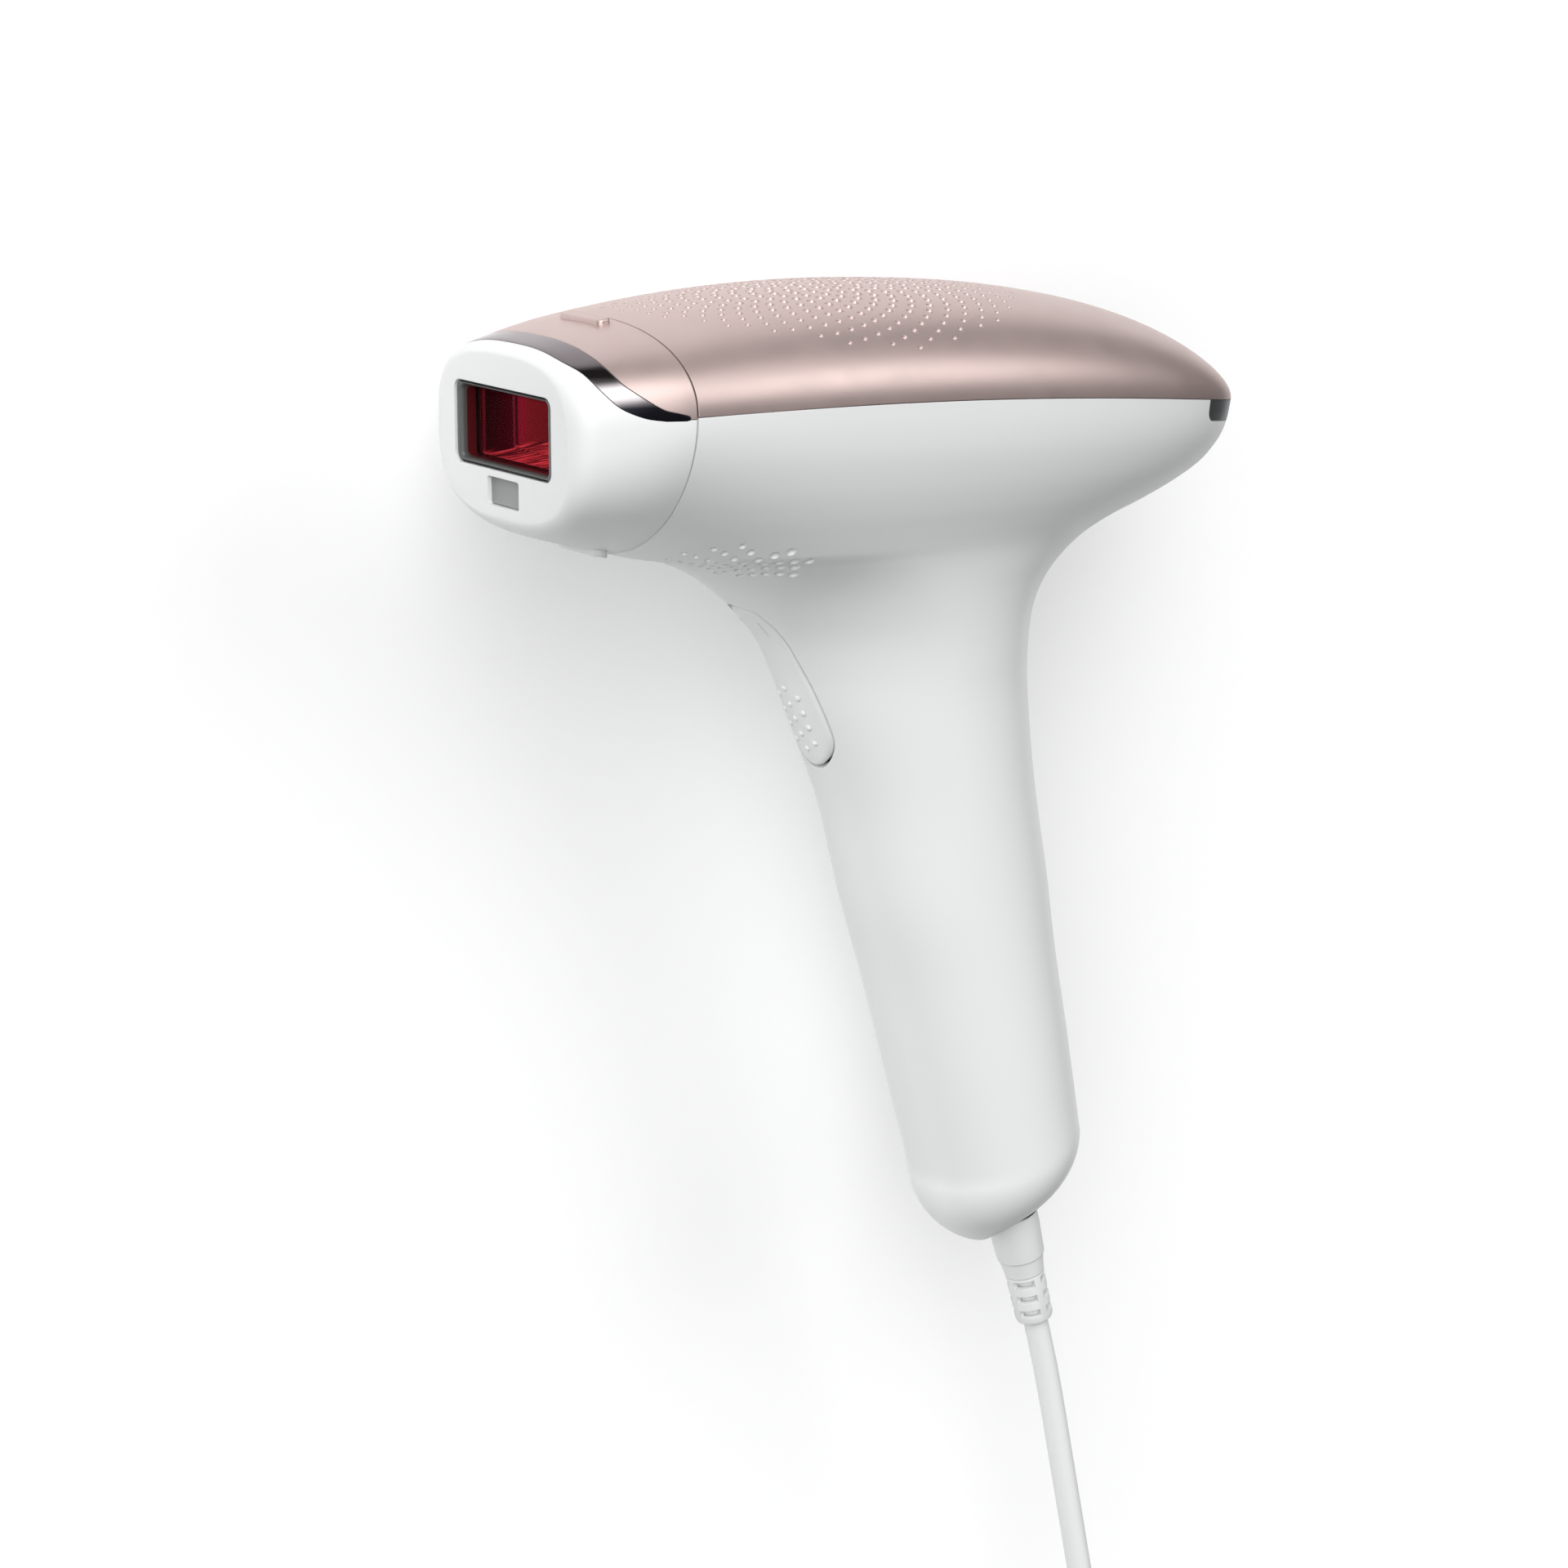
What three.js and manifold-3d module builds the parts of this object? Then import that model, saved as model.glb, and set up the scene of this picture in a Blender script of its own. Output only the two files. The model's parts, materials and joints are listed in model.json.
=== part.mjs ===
// Hand-held IPL hair remover: a lamp head with a slide-off treatment attachment, a pistol handle,
// and a low-voltage plug with its cord. Millimetres, +Z up, the head looks along -X, Y runs across.
// The origin is the middle of the treatment glass's front face. The skin plane, which the flat nose
// of the attachment touches, lies RECESS in front of it, and every shape below is written from it.
import * as THREE from 'three';
import { mergeVertices } from 'three/addons/utils/BufferGeometryUtils.js';
import Module from 'manifold-3d';

const wasm = await Module();
wasm.setup();

// ---- Driving dimensions ----
const RECESS = 1.5;
const GAP = 0.3;
const WALL = 2.0;
const SEAM_X = 21.8;
const TAIL_X = 172.3;
const FAR = 300;
const SPARE = 6;

const PLAN = { half: 35.6, widestX: 62, tailPower: 2.0, sidePower: 3.7 };
const CREST = { rise: 20, highX: 86, seamRise: 15.4, endPower: 2.8, sidePower: 1.7, arch: 2.26 };
const SEAM = { half: 33.5, top: 19.96, bottom: -25.54, upPower: 2.26, downPower: 1.87 };
const NOSE = { half: 22.1, top: 14, bottom: -16.7, power: 3, edge: 4.5, edgeShare: 0.28, flarePower: 1.15 };
const PARTING_RISE = 2.94;

// Rows of the lower body, from the parting line down to the foot of the handle. Each row is a level
// outline from a front point (frontX, frontZ) to a rear point (rearX, rearZ); half is its greatest
// half-width, at widestX. bow, tail and side are the powers of its outline ahead, behind and across.
const ROW_KEYS = ['frontX', 'frontZ', 'rearX', 'rearZ', 'half', 'widestX', 'bow', 'tail', 'side'];
const ROWS = [
  [21.8, 4.56, 172.3, -7.35, 35.6, 62, 2.2, 2, 3.7],
  [21.8, 0, 171.9, -11.8, 35.2, 63, 2.2, 2, 3.5],
  [21.8, -5, 170.8, -15.8, 34.3, 65, 2.2, 2, 3.2],
  [21.8, -11, 167.5, -20, 32.5, 68, 2.2, 2, 2.9],
  [21.8, -16.5, 161.8, -23.6, 30.3, 72, 2.2, 2, 2.6],
  [21.8, -21.5, 154.6, -26.6, 28, 76, 2.2, 2, 2.4],
  [21.8, -25.6, 147, -29, 26.2, 80, 2.2, 2, 2.3],
  [34, -28.7, 139.8, -32, 24.8, 84, 2.1, 2, 2.2],
  [43.3, -32.6, 133.8, -35.8, 23.5, 88, 1.9, 2, 2.1],
  [50.9, -38, 128.9, -40.7, 22.2, 91, 1.7, 2, 2],
  [58.9, -46, 125.6, -46.5, 20.9, 94, 1.6, 2, 2],
  [63.8, -54.2, 124.5, -54, 19.9, 96, 1.6, 2, 2],
  [68, -64, 124.6, -64, 19.2, 97.5, 1.65, 2, 2],
  [76.9, -84.5, 126.6, -83.5, 18.8, 102, 1.8, 2, 2],
  [83.5, -107, 130.1, -105, 18.6, 107, 2, 2, 2.1],
  [89.4, -125, 132.4, -121, 18.5, 111, 2, 2, 2.1],
  [95.6, -146.2, 135.9, -139.8, 18.4, 115.9, 2, 2, 2.1],
  [102.6, -170, 139.8, -162, 18, 121.3, 2, 2, 2.1],
].map((row) => Object.fromEntries(ROW_KEYS.map((key, i) => [key, row[i]])));
const OPEN_ROWS = 6;
const STRAIGHT_ROW = 12;
const FOOT = { depth: 17.4, drift: 0.02, steps: 7, innerSteps: 4 };

// ---- Small helpers ----
const mix = (a, b, t) => a + (b - a) * t;
const clamp01 = (t) => Math.min(1, Math.max(0, t));
const power = (v, n) => Math.sign(v) * Math.abs(v) ** n;

function toSolid(geometry) {
  const bare = geometry.index ? geometry.toNonIndexed() : geometry.clone();
  bare.deleteAttribute('normal');
  bare.deleteAttribute('uv');
  const merged = mergeVertices(bare, 1e-4);
  const vertProperties = new Float32Array(merged.attributes.position.array);
  const triVerts = new Uint32Array(merged.index.array);
  const solid = new wasm.Manifold(new wasm.Mesh({ numProp: 3, vertProperties, triVerts }));
  if (solid.volume() > 0) {
    return solid;
  }
  // The faces point inwards, so every triangle is turned over.
  return new wasm.Manifold(new wasm.Mesh({ numProp: 3, vertProperties, triVerts: triVerts.reverse() }));
}

function toGeometry(solid) {
  const mesh = solid.getMesh();
  const geometry = new THREE.BufferGeometry();
  geometry.setAttribute('position', new THREE.BufferAttribute(new Float32Array(mesh.vertProperties), 3));
  geometry.setIndex(Array.from(mesh.triVerts));
  geometry.computeVertexNormals();
  return geometry;
}

// Closed skin through rings of equal length, each end closed by a fan to the ring's middle.
function loft(rings) {
  const count = rings[0].length;
  const points = rings.flat();
  const triangles = [];
  for (let r = 0; r + 1 < rings.length; r += 1) {
    for (let i = 0; i < count; i += 1) {
      const a = r * count + i;
      const b = r * count + ((i + 1) % count);
      triangles.push(a, b, b + count, a, b + count, a + count);
    }
  }
  const middle = (ring) => ring.reduce((sum, p) => sum.add(p), new THREE.Vector3()).divideScalar(count);
  const last = (rings.length - 1) * count;
  points.push(middle(rings[0]), middle(rings[rings.length - 1]));
  for (let i = 0; i < count; i += 1) {
    const next = (i + 1) % count;
    triangles.push(points.length - 2, next, i);
    triangles.push(points.length - 1, last + i, last + next);
  }
  const geometry = new THREE.BufferGeometry();
  const coordinates = points.flatMap((p) => [p.x, p.y, p.z]);
  geometry.setAttribute('position', new THREE.Float32BufferAttribute(coordinates, 3));
  geometry.setIndex(triangles);
  return geometry;
}

// ---- Shape of the body ----
function partingHeight(x) {
  const t = (x - SEAM_X) / (TAIL_X - SEAM_X);
  return mix(ROWS[0].frontZ, ROWS[0].rearZ, t) + 4 * PARTING_RISE * t * (1 - t);
}

function planHalf(x) {
  if (x < PLAN.widestX) {
    const t = (PLAN.widestX - x) / (PLAN.widestX - SEAM_X);
    return PLAN.half - (PLAN.half - SEAM.half) * t * t;
  }
  const t = (x - PLAN.widestX) / (TAIL_X - PLAN.widestX);
  return PLAN.half * (1 - clamp01(t) ** PLAN.tailPower) ** (1 / PLAN.sidePower);
}

function crestRise(x) {
  if (x < CREST.highX) {
    const t = (CREST.highX - x) / (CREST.highX - SEAM_X);
    return CREST.rise - (CREST.rise - CREST.seamRise) * t * t;
  }
  const t = (x - CREST.highX) / (TAIL_X - CREST.highX);
  return CREST.rise * (1 - clamp01(t) ** CREST.endPower) ** (1 / CREST.sidePower);
}

// Catmull-Rom value of one column of ROWS at a fractional row number.
function column(key, s) {
  const i = Math.min(ROWS.length - 2, Math.floor(s));
  const t = s - i;
  const at = (k) => ROWS[Math.min(ROWS.length - 1, Math.max(0, k))][key];
  const [a, b, c, d] = [at(i - 1), at(i), at(i + 1), at(i + 2)];
  return b + 0.5 * t * (c - a + t * (2 * a - 5 * b + 4 * c - d + t * (3 * (b - c) + d - a)));
}

function seamHalfAt(z) {
  const drop = clamp01((ROWS[0].frontZ - z) / (ROWS[0].frontZ - ROWS[OPEN_ROWS].frontZ));
  return SEAM.half * (1 - drop ** SEAM.downPower) ** (1 / SEAM.downPower);
}

function rowAt(s) {
  const row = {};
  for (const key of Object.keys(ROWS[0])) {
    row[key] = column(key, s);
  }
  row.startX = row.frontX;
  row.rise = PARTING_RISE * Math.max(0, 1 - s / OPEN_ROWS) ** 2;
  if (s < OPEN_ROWS) {
    // Rows above the belly are still open at the seam: their bow runs on ahead of it.
    const closing = 1 - (seamHalfAt(row.frontZ) / row.half) ** row.side;
    row.startX = SEAM_X;
    row.frontX = row.widestX - (row.widestX - SEAM_X) / closing ** (1 / row.bow);
  }
  return row;
}

function rowRing(row, count, inset, lift) {
  const quarter = count / 4;
  const ring = [];
  for (let i = 0; i < count; i += 1) {
    const side = i < count / 2 ? -1 : 1;
    const j = i < count / 2 ? i : count - i;
    const front = j < quarter;
    const v = front ? j / quarter : (count / 2 - j) / quarter;
    const angle = (Math.PI / 2) * v ** 1.5;
    const reach = Math.cos(angle) ** (2 / (front ? row.bow : row.tail));
    const x = front
      ? row.widestX - (row.widestX - row.frontX - inset) * reach
      : row.widestX + (row.rearX - inset - row.widestX) * reach;
    const y = side * (row.half - inset) * Math.sin(angle) ** (2 / row.side);
    const t = (x - row.startX) / (row.rearX - row.startX);
    const z = mix(row.frontZ, row.rearZ, t) + 4 * row.rise * Math.max(0, t) * (1 - t);
    ring.push(new THREE.Vector3(x, j === 0 || j === count / 2 ? 0 : y, z + lift));
  }
  return ring;
}

// Lower body: the rows, then a domed foot. It starts a little above the parting line, to be cut there.
function lowerBody(count, step, inset) {
  const rings = [rowRing(rowAt(0), count, inset, SPARE)];
  for (let s = 0; s < STRAIGHT_ROW; s += step) {
    rings.push(rowRing(rowAt(s), count, inset, inset));
  }
  for (let s = STRAIGHT_ROW; s < ROWS.length; s += 1) {
    rings.push(rowRing(rowAt(s), count, inset, inset));
  }
  const last = rowAt(ROWS.length - 1);
  const middle = (last.frontX + last.rearX) / 2;
  const steps = step < 1 ? FOOT.steps : FOOT.innerSteps;
  for (let k = 1; k < steps; k += 1) {
    const angle = (Math.PI / 2) * (k / steps);
    const drop = (FOOT.depth - inset) * Math.sin(angle);
    const shrink = Math.cos(angle);
    const ring = rowRing(last, count, inset, inset).map(
      (p) => point(middle + (p.x - middle) * shrink + FOOT.drift * drop, p.y * shrink, p.z - drop),
    );
    rings.push(ring);
  }
  return toSolid(loft(rings));
}

// Upper body: arches over the plan outline, from ahead of the seam to the tail.
function upperBody(count, stations, inset) {
  const rings = [];
  const half = count / 2;
  const startX = SEAM_X - SPARE;
  for (let k = 0; k <= stations; k += 1) {
    const t = Math.sin((Math.PI / 2) * (k / (stations + 0.35)));
    const x = mix(startX, TAIL_X - inset, t);
    const xOuter = mix(startX, TAIL_X, t);
    const b = Math.max(planHalf(xOuter) - inset, 0.5);
    const h = Math.max(crestRise(xOuter) - inset, 0.2);
    const ring = [];
    for (let i = 0; i <= half; i += 1) {
      const angle = Math.PI * (i / half);
      const y = b * power(Math.cos(angle), 2 / CREST.arch);
      const z = partingHeight(x) + h * Math.sin(angle) ** (2 / CREST.arch);
      ring.push(new THREE.Vector3(x, y, z));
    }
    ring.push(new THREE.Vector3(x, -b, partingHeight(x) - SPARE));
    ring.push(new THREE.Vector3(x, b, partingHeight(x) - SPARE));
    rings.push(ring);
  }
  return toSolid(loft(rings));
}

// ---- Attachment form ----
function noseBlend(x) {
  const edge = 1 - clamp01(x / NOSE.edge);
  const round = 1 - Math.sqrt(1 - edge * edge);
  const flare = (1 - clamp01(x / SEAM_X)) ** NOSE.flarePower;
  return NOSE.edgeShare * round + (1 - NOSE.edgeShare) * flare;
}

function headSection(x, inset, count) {
  const g = noseBlend(x);
  const half = mix(SEAM.half, NOSE.half, g) - inset;
  const top = mix(SEAM.top, NOSE.top, g) - inset;
  const bottom = mix(SEAM.bottom, NOSE.bottom, g) + inset;
  const middle = mix(ROWS[0].frontZ, (NOSE.top + NOSE.bottom) / 2, g);
  const ring = [];
  for (let i = 0; i < count; i += 1) {
    const angle = (2 * Math.PI * i) / count;
    const up = Math.sin(angle) >= 0;
    const n = mix(up ? SEAM.upPower : SEAM.downPower, NOSE.power, g);
    const y = half * power(Math.cos(angle), 2 / n);
    const z = middle + (up ? top - middle : middle - bottom) * power(Math.sin(angle), 2 / n);
    ring.push(new THREE.Vector3(x, y, z));
  }
  return ring;
}

function headLoft(stations, inset, count) {
  return toSolid(loft(stations.map((x) => headSection(x, inset, count))));
}

// ---- Solids from three.js shapes ----
const X_AXIS = new THREE.Vector3(1, 0, 0);
const Y_AXIS = new THREE.Vector3(0, 1, 0);
const Z_AXIS = new THREE.Vector3(0, 0, 1);
const point = (x, y, z) => new THREE.Vector3(x, y, z);

function block(x0, x1, y0, y1, z0, z1) {
  const geometry = new THREE.BoxGeometry(x1 - x0, y1 - y0, z1 - z0);
  return toSolid(geometry.translate((x0 + x1) / 2, (y0 + y1) / 2, (z0 + z1) / 2));
}

// Turns a geometry built along +Z at the origin to run along direction, starting at start.
function along(geometry, start, direction) {
  const turn = new THREE.Quaternion().setFromUnitVectors(Z_AXIS, direction.clone().normalize());
  geometry.applyQuaternion(turn);
  return geometry.translate(start.x, start.y, start.z);
}

function rod(start, direction, radius, length, sides = 20) {
  const geometry = new THREE.CylinderGeometry(radius, radius, length, sides);
  geometry.rotateX(Math.PI / 2).translate(0, 0, length / 2);
  return toSolid(along(geometry, start, direction));
}

// Body of revolution from [radius, distance] pairs, turned to run along direction.
function turned(profile, start, direction, sides = 24) {
  const outline = profile.map(([radius, distance]) => new THREE.Vector2(radius, distance));
  const geometry = new THREE.LatheGeometry(outline, sides);
  geometry.rotateX(Math.PI / 2);
  return toSolid(along(geometry, start, direction));
}

function extruded(shape, depth, curveSegments = 4) {
  return new THREE.ExtrudeGeometry(shape, { depth, bevelEnabled: false, curveSegments });
}

// A shape drawn in (y, z), standing between two x values.
function plateX(shape, x0, x1) {
  const turn = new THREE.Matrix4().makeBasis(Y_AXIS, Z_AXIS, X_AXIS);
  return toSolid(extruded(shape, x1 - x0).applyMatrix4(turn).translate(x0, 0, 0));
}

// A shape drawn in (x, z), standing between -half and +half across the body.
function plateY(shape, half) {
  const turn = new THREE.Matrix4().makeBasis(X_AXIS, Z_AXIS, Y_AXIS.clone().negate());
  return toSolid(extruded(shape, 2 * half).applyMatrix4(turn).translate(0, half, 0));
}

function plateZ(shape, z0, z1) {
  return toSolid(extruded(shape, z1 - z0).translate(0, 0, z0));
}

function polygon(pairs) {
  return new THREE.Shape(pairs.map(([a, b]) => new THREE.Vector2(a, b)));
}

function roundedRect(halfA, halfB, radius, a = 0, b = 0) {
  const shape = new THREE.Shape();
  shape.moveTo(a - halfA + radius, b - halfB);
  shape.lineTo(a + halfA - radius, b - halfB);
  shape.absarc(a + halfA - radius, b - halfB + radius, radius, -Math.PI / 2, 0);
  shape.lineTo(a + halfA, b + halfB - radius);
  shape.absarc(a + halfA - radius, b + halfB - radius, radius, 0, Math.PI / 2);
  shape.lineTo(a - halfA + radius, b + halfB);
  shape.absarc(a - halfA + radius, b + halfB - radius, radius, Math.PI / 2, Math.PI);
  shape.lineTo(a - halfA, b - halfB + radius);
  shape.absarc(a - halfA + radius, b - halfB + radius, radius, Math.PI, 1.5 * Math.PI);
  return shape;
}

const union = (solids) => solids.reduce((sum, solid) => sum.add(solid));
const without = (solid, cuts) => cuts.reduce((rest, cut) => rest.subtract(cut), solid);

// ---- Materials ----
function finish(color, roughness, metalness = 0, opacity = 1) {
  return new THREE.MeshStandardMaterial({ color, roughness, metalness, opacity, transparent: opacity < 1 });
}

const MATERIAL = {
  white: () => finish(0xf1f2f2, 0.32),
  rose: () => finish(0xd3b3ad, 0.38, 0.75),
  chrome: () => finish(0x8f868c, 0.12, 1),
  darkGrey: () => finish(0x4c4f50, 0.35),
  frameGrey: () => finish(0x5f6462, 0.4),
  redGlass: () => finish(0x7d1018, 0.05, 0, 0.6),
  clearGlass: () => finish(0xdfe8ea, 0.05, 0, 0.35),
  sensorGrey: () => finish(0xa7aaac, 0.25),
  mirror: () => finish(0xd9dcdf, 0.08, 1),
  steel: () => finish(0xb4b8bb, 0.35, 0.9),
  brass: () => finish(0xc9a55c, 0.35, 0.9),
  black: () => finish(0x1d1f21, 0.5),
  board: () => finish(0x1f6b3a, 0.55),
  ceramic: () => finish(0xe7e2d6, 0.6),
  copper: () => finish(0xb06a3a, 0.45, 0.8),
  sleeve: () => finish(0x22335c, 0.4),
};

const model = new THREE.Group();
const body = new THREE.Group();
body.position.x = -RECESS;
model.add(body);

function part(name, solid, material) {
  const mesh = new THREE.Mesh(toGeometry(solid), MATERIAL[material]());
  mesh.name = name;
  body.add(mesh);
}

// ---- Regions that divide the skins ----
function partingLine(offset, fromX, toX) {
  const points = [];
  const steps = 18;
  for (let i = 0; i <= steps; i += 1) {
    const x = mix(fromX, toX, i / steps);
    points.push([x, partingHeight(x) + offset]);
  }
  return points;
}

function belowParting() {
  const edge = partingLine(-GAP / 2, -20, 190);
  return plateY(polygon([...edge, [190, -FAR], [-20, -FAR]].reverse()), 60);
}

function aboveParting() {
  const edge = partingLine(GAP / 2, -20, 190);
  return plateY(polygon([...edge, [190, 60], [-20, 60]]), 60);
}

function behindSeam() {
  return block(SEAM_X + GAP / 2, FAR, -60, 60, -FAR, 60);
}

// ---- Body skins ----
const LIGHT_STRIP = { startX: 155.7, height: 4.5, corner: 2.2, half: 26 };
const BUTTON = { top: [53, -40.2], foot: [72.1, -76.4], thick: 2.2 };
const BUTTON_OUTLINE = [
  [0, 0], [0.7, 2.6], [2.5, 4.5], [6, 5.3], [11, 5.7], [17, 6.0], [25, 6.8], [31, 7.15],
  [35, 6.9], [38, 5.4], [40.3, 2.7], [41, 0],
];
const POWER_KEY = { at: point(169.9, 0, -17.3), out: point(0.786, 0, -0.618), radius: 4.1 };
const CHECK_KEY = { at: point(160.6, 0, -24.1), out: point(0.45, 0, -0.893), radius: 3 };
const PLUG = { at: point(126.6, 0, -183.2), out: point(0.264, 0, -0.9645) };
const SOCKET = { radius: 6, boreRadius: 2.85, face: -1, back: -16, boreBack: -11.6 };
const POSTS = [[57, 8.5], [57, -8.5], [136, 8], [136, -8]];
const CHASSIS = { bottom: -14, top: -12, fromX: 53, toX: 140.5, half: 17 };
const SCREW = { shank: 1.2, hole: 1.5, head: 2.6 };

function stripRegion(grow) {
  const { startX, height, corner } = LIGHT_STRIP;
  const x0 = startX - grow;
  const drop = height + grow;
  const points = partingLine(10, x0, 180).reverse();
  points.push([x0, partingHeight(x0) - drop + corner]);
  for (const t of [0.25, 0.5, 0.75]) {
    const angle = (Math.PI / 2) * t;
    const x = x0 + corner * (1 - Math.cos(angle));
    points.push([x, partingHeight(x) - drop + corner * (1 - Math.sin(angle))]);
  }
  points.push(...partingLine(-drop, x0 + corner, 180));
  return plateY(polygon(points), LIGHT_STRIP.half + 10);
}

const buttonAlong = point(BUTTON.foot[0] - BUTTON.top[0], 0, BUTTON.foot[1] - BUTTON.top[1]).normalize();
const buttonIn = point(-buttonAlong.z, 0, buttonAlong.x);
const buttonTop = point(BUTTON.top[0], 0, BUTTON.top[1]);

// Point of the button's own frame: u down its length, n inwards from the chord of its face.
function buttonPoint(u, y, n) {
  return buttonTop.clone().addScaledVector(buttonAlong, u).addScaledVector(buttonIn, n).add(point(0, y, 0));
}

// Prism through the handle's skin with the button's outline, grown or shrunk by an offset.
function buttonPrism(offset, fromN, toN) {
  const length = BUTTON_OUTLINE[BUTTON_OUTLINE.length - 1][0];
  const shape = new THREE.Shape();
  const side = BUTTON_OUTLINE.map(([u, half]) => {
    const middle = length / 2;
    return new THREE.Vector2(middle + (u - middle) * (1 + offset / middle), half + (half > 0 ? offset : 0));
  });
  shape.setFromPoints([...side, ...side.slice(1, -1).reverse().map((p) => new THREE.Vector2(p.x, -p.y))]);
  const turn = new THREE.Matrix4().makeBasis(buttonAlong, Y_AXIS.clone().negate(), buttonIn);
  const start = buttonPoint(0, 0, fromN);
  const geometry = extruded(shape, toN - fromN).applyMatrix4(turn).translate(start.x, start.y, start.z);
  return toSolid(geometry);
}

function keyRod(key, grow, from, to) {
  const start = key.at.clone().addScaledVector(key.out, from);
  return rod(start, key.out, key.radius + grow, to - from, 28);
}

const outerLower = lowerBody(32, 0.5, 0);
const innerLower = lowerBody(20, 1.5, WALL);

function housing() {
  const skin = outerLower.intersect(belowParting()).intersect(behindSeam());
  const posts = POSTS.map(([x, y]) => rod(point(x, y, -40), Z_AXIS, 3.2, 40 + CHASSIS.bottom - GAP, 14));
  const shell = skin.subtract(innerLower).add(union(posts).intersect(outerLower));
  return without(shell, [
    stripRegion(GAP / 2),
    buttonPrism(GAP / 2, -8, 12),
    keyRod(POWER_KEY, GAP, -6, 4),
    keyRod(CHECK_KEY, GAP, -6, 4),
    rod(plugPoint(SOCKET.back), PLUG.out, SOCKET.radius + GAP, 30, 28),
    ...POSTS.map(([x, y]) => rod(point(x, y, CHASSIS.bottom - 9), Z_AXIS, SCREW.hole, 12, 12)),
  ]);
}

function topCover() {
  const skin = upperBody(32, 18, 0).intersect(aboveParting()).intersect(behindSeam());
  return skin.subtract(upperBody(20, 10, WALL));
}

function lightStrip() {
  const skin = outerLower.intersect(belowParting()).subtract(lowerBody(32, 1, WALL));
  return skin.intersect(stripRegion(-GAP / 2)).intersect(block(150, 180, -40, 40, -40, 20));
}

// ---- Attachment ----
const WINDOW = { half: 17, high: 8, corner: 2 };
const GLASS = { half: 14.7, high: 6.6, thick: 2 };
const SENSOR = { half: 5.5, top: -9.3, bottom: -14.8 };
const FACE_WALL = 2.2;
const RIDGE = { x: 18.6, half: 7, width: 1.4, corner: 0.7, proud: 1.1 };

// Side-view edges of the bright trim band, from the crest down to the parting line.
const TRIM_FRONT = [
  [3.2, 40], [3.2, 17], [3, 14.8], [4.3, 12.9], [5.7, 10], [8.2, 6.9], [12.2, 4.9], [16, 4.1],
];
const TRIM_REAR = [
  [8.3, 40], [8.3, 18], [8.1, 15.8], [9.3, 11.9], [11.2, 9.6], [15.3, 6.4], [18.2, 5.4],
];
const TRIM_END = [20.3, 4.2];

function smoothEdge(pairs, shift) {
  const curve = new THREE.SplineCurve(pairs.slice(1).map(([x, z]) => new THREE.Vector2(x + shift, z)));
  return [[pairs[0][0] + shift, pairs[0][1]], ...curve.getPoints(11).map((p) => [p.x, p.y])];
}

function trimRegion() {
  const front = smoothEdge(TRIM_FRONT, GAP / 2);
  const rear = smoothEdge(TRIM_REAR, -GAP / 2);
  const [x, z] = TRIM_END;
  const end = [[x - 0.6, z + 0.75], [x, z + 0.1], [x - 0.2, z - 0.15]];
  return plateY(polygon([...front, ...end.reverse(), ...rear.reverse()]), 60);
}

function whiteRegion() {
  const front = smoothEdge(TRIM_FRONT, -GAP / 2);
  const tip = [[TRIM_END[0], TRIM_END[1] - 0.45], [30, TRIM_END[1] - 0.45]];
  return plateY(polygon([...front, ...tip, [30, -60], [-20, -60], [-20, 40]]), 60);
}

function roseRegion() {
  const rear = smoothEdge(TRIM_REAR, GAP / 2);
  const [x, z] = TRIM_END;
  const tip = [[x + 0.3, z + 0.6], [x + 0.3, z - 0.15], [30, z - 0.15]];
  return plateY(polygon([...rear, ...tip, [30, 40]]), 60);
}

const noseStations = [0, 0.25, 0.8, 1.7, 3, 4.5, 8, 13, SEAM_X - GAP / 2];
const noseOuter = headLoft(noseStations, 0, 40);
const noseInner = headLoft([FACE_WALL, 4.5, 8, 13, 18, SEAM_X + 1], WALL, 24);
const noseSkin = noseOuter.subtract(noseInner);

// Low bar on the crest and on the belly, which shows where to grip the attachment to pull it off.
function gripRidge(z0, z1) {
  const bar = plateZ(roundedRect(RIDGE.width, RIDGE.half, RIDGE.corner, RIDGE.x, 0), z0, z1);
  const raised = headLoft([16, SEAM_X - GAP / 2], -RIDGE.proud, 40);
  return bar.intersect(raised).subtract(noseInner);
}

function attachmentShell() {
  const sensorMiddle = (SENSOR.top + SENSOR.bottom) / 2;
  const sensorHigh = (SENSOR.top - SENSOR.bottom) / 2;
  const shell = noseSkin.intersect(whiteRegion()).add(gripRidge(-40, -10));
  return without(shell, [
    plateX(roundedRect(WINDOW.half, WINDOW.high, WINDOW.corner), -1, 4),
    plateX(roundedRect(SENSOR.half, sensorHigh, 0.6, 0, sensorMiddle), -1, 4),
  ]);
}

function windowFrame() {
  const front = plateX(roundedRect(WINDOW.half - GAP, WINDOW.high - GAP, WINDOW.corner - GAP), 0.1, 3.7);
  const flange = plateX(roundedRect(WINDOW.half + 1.5, WINDOW.high + 1, 1), FACE_WALL + 0.4, 3.7);
  return front.add(flange).subtract(plateX(roundedRect(GLASS.half + GAP, GLASS.high + GAP, 1.2), -1, 5));
}

function filterGlass() {
  return plateX(roundedRect(GLASS.half, GLASS.high, 1), RECESS, RECESS + GLASS.thick);
}

function frustum(x0, half0, high0, x1, half1, high1) {
  const corners = [[-1, -1], [1, -1], [1, 1], [-1, 1]];
  const ring = (x, half, high) => corners.map(([a, b]) => point(x, a * half, b * high));
  return toSolid(loft([ring(x0, half0, high0), ring(x1, half1, high1)]));
}

function attachmentReflector() {
  const tunnel = frustum(5.2, 14.4, 6.3, 20, 18.4, 8.6);
  return tunnel.subtract(frustum(5.2 - 1.48, 13.2, 5.07, 21.48, 18, 8.03));
}

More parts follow.
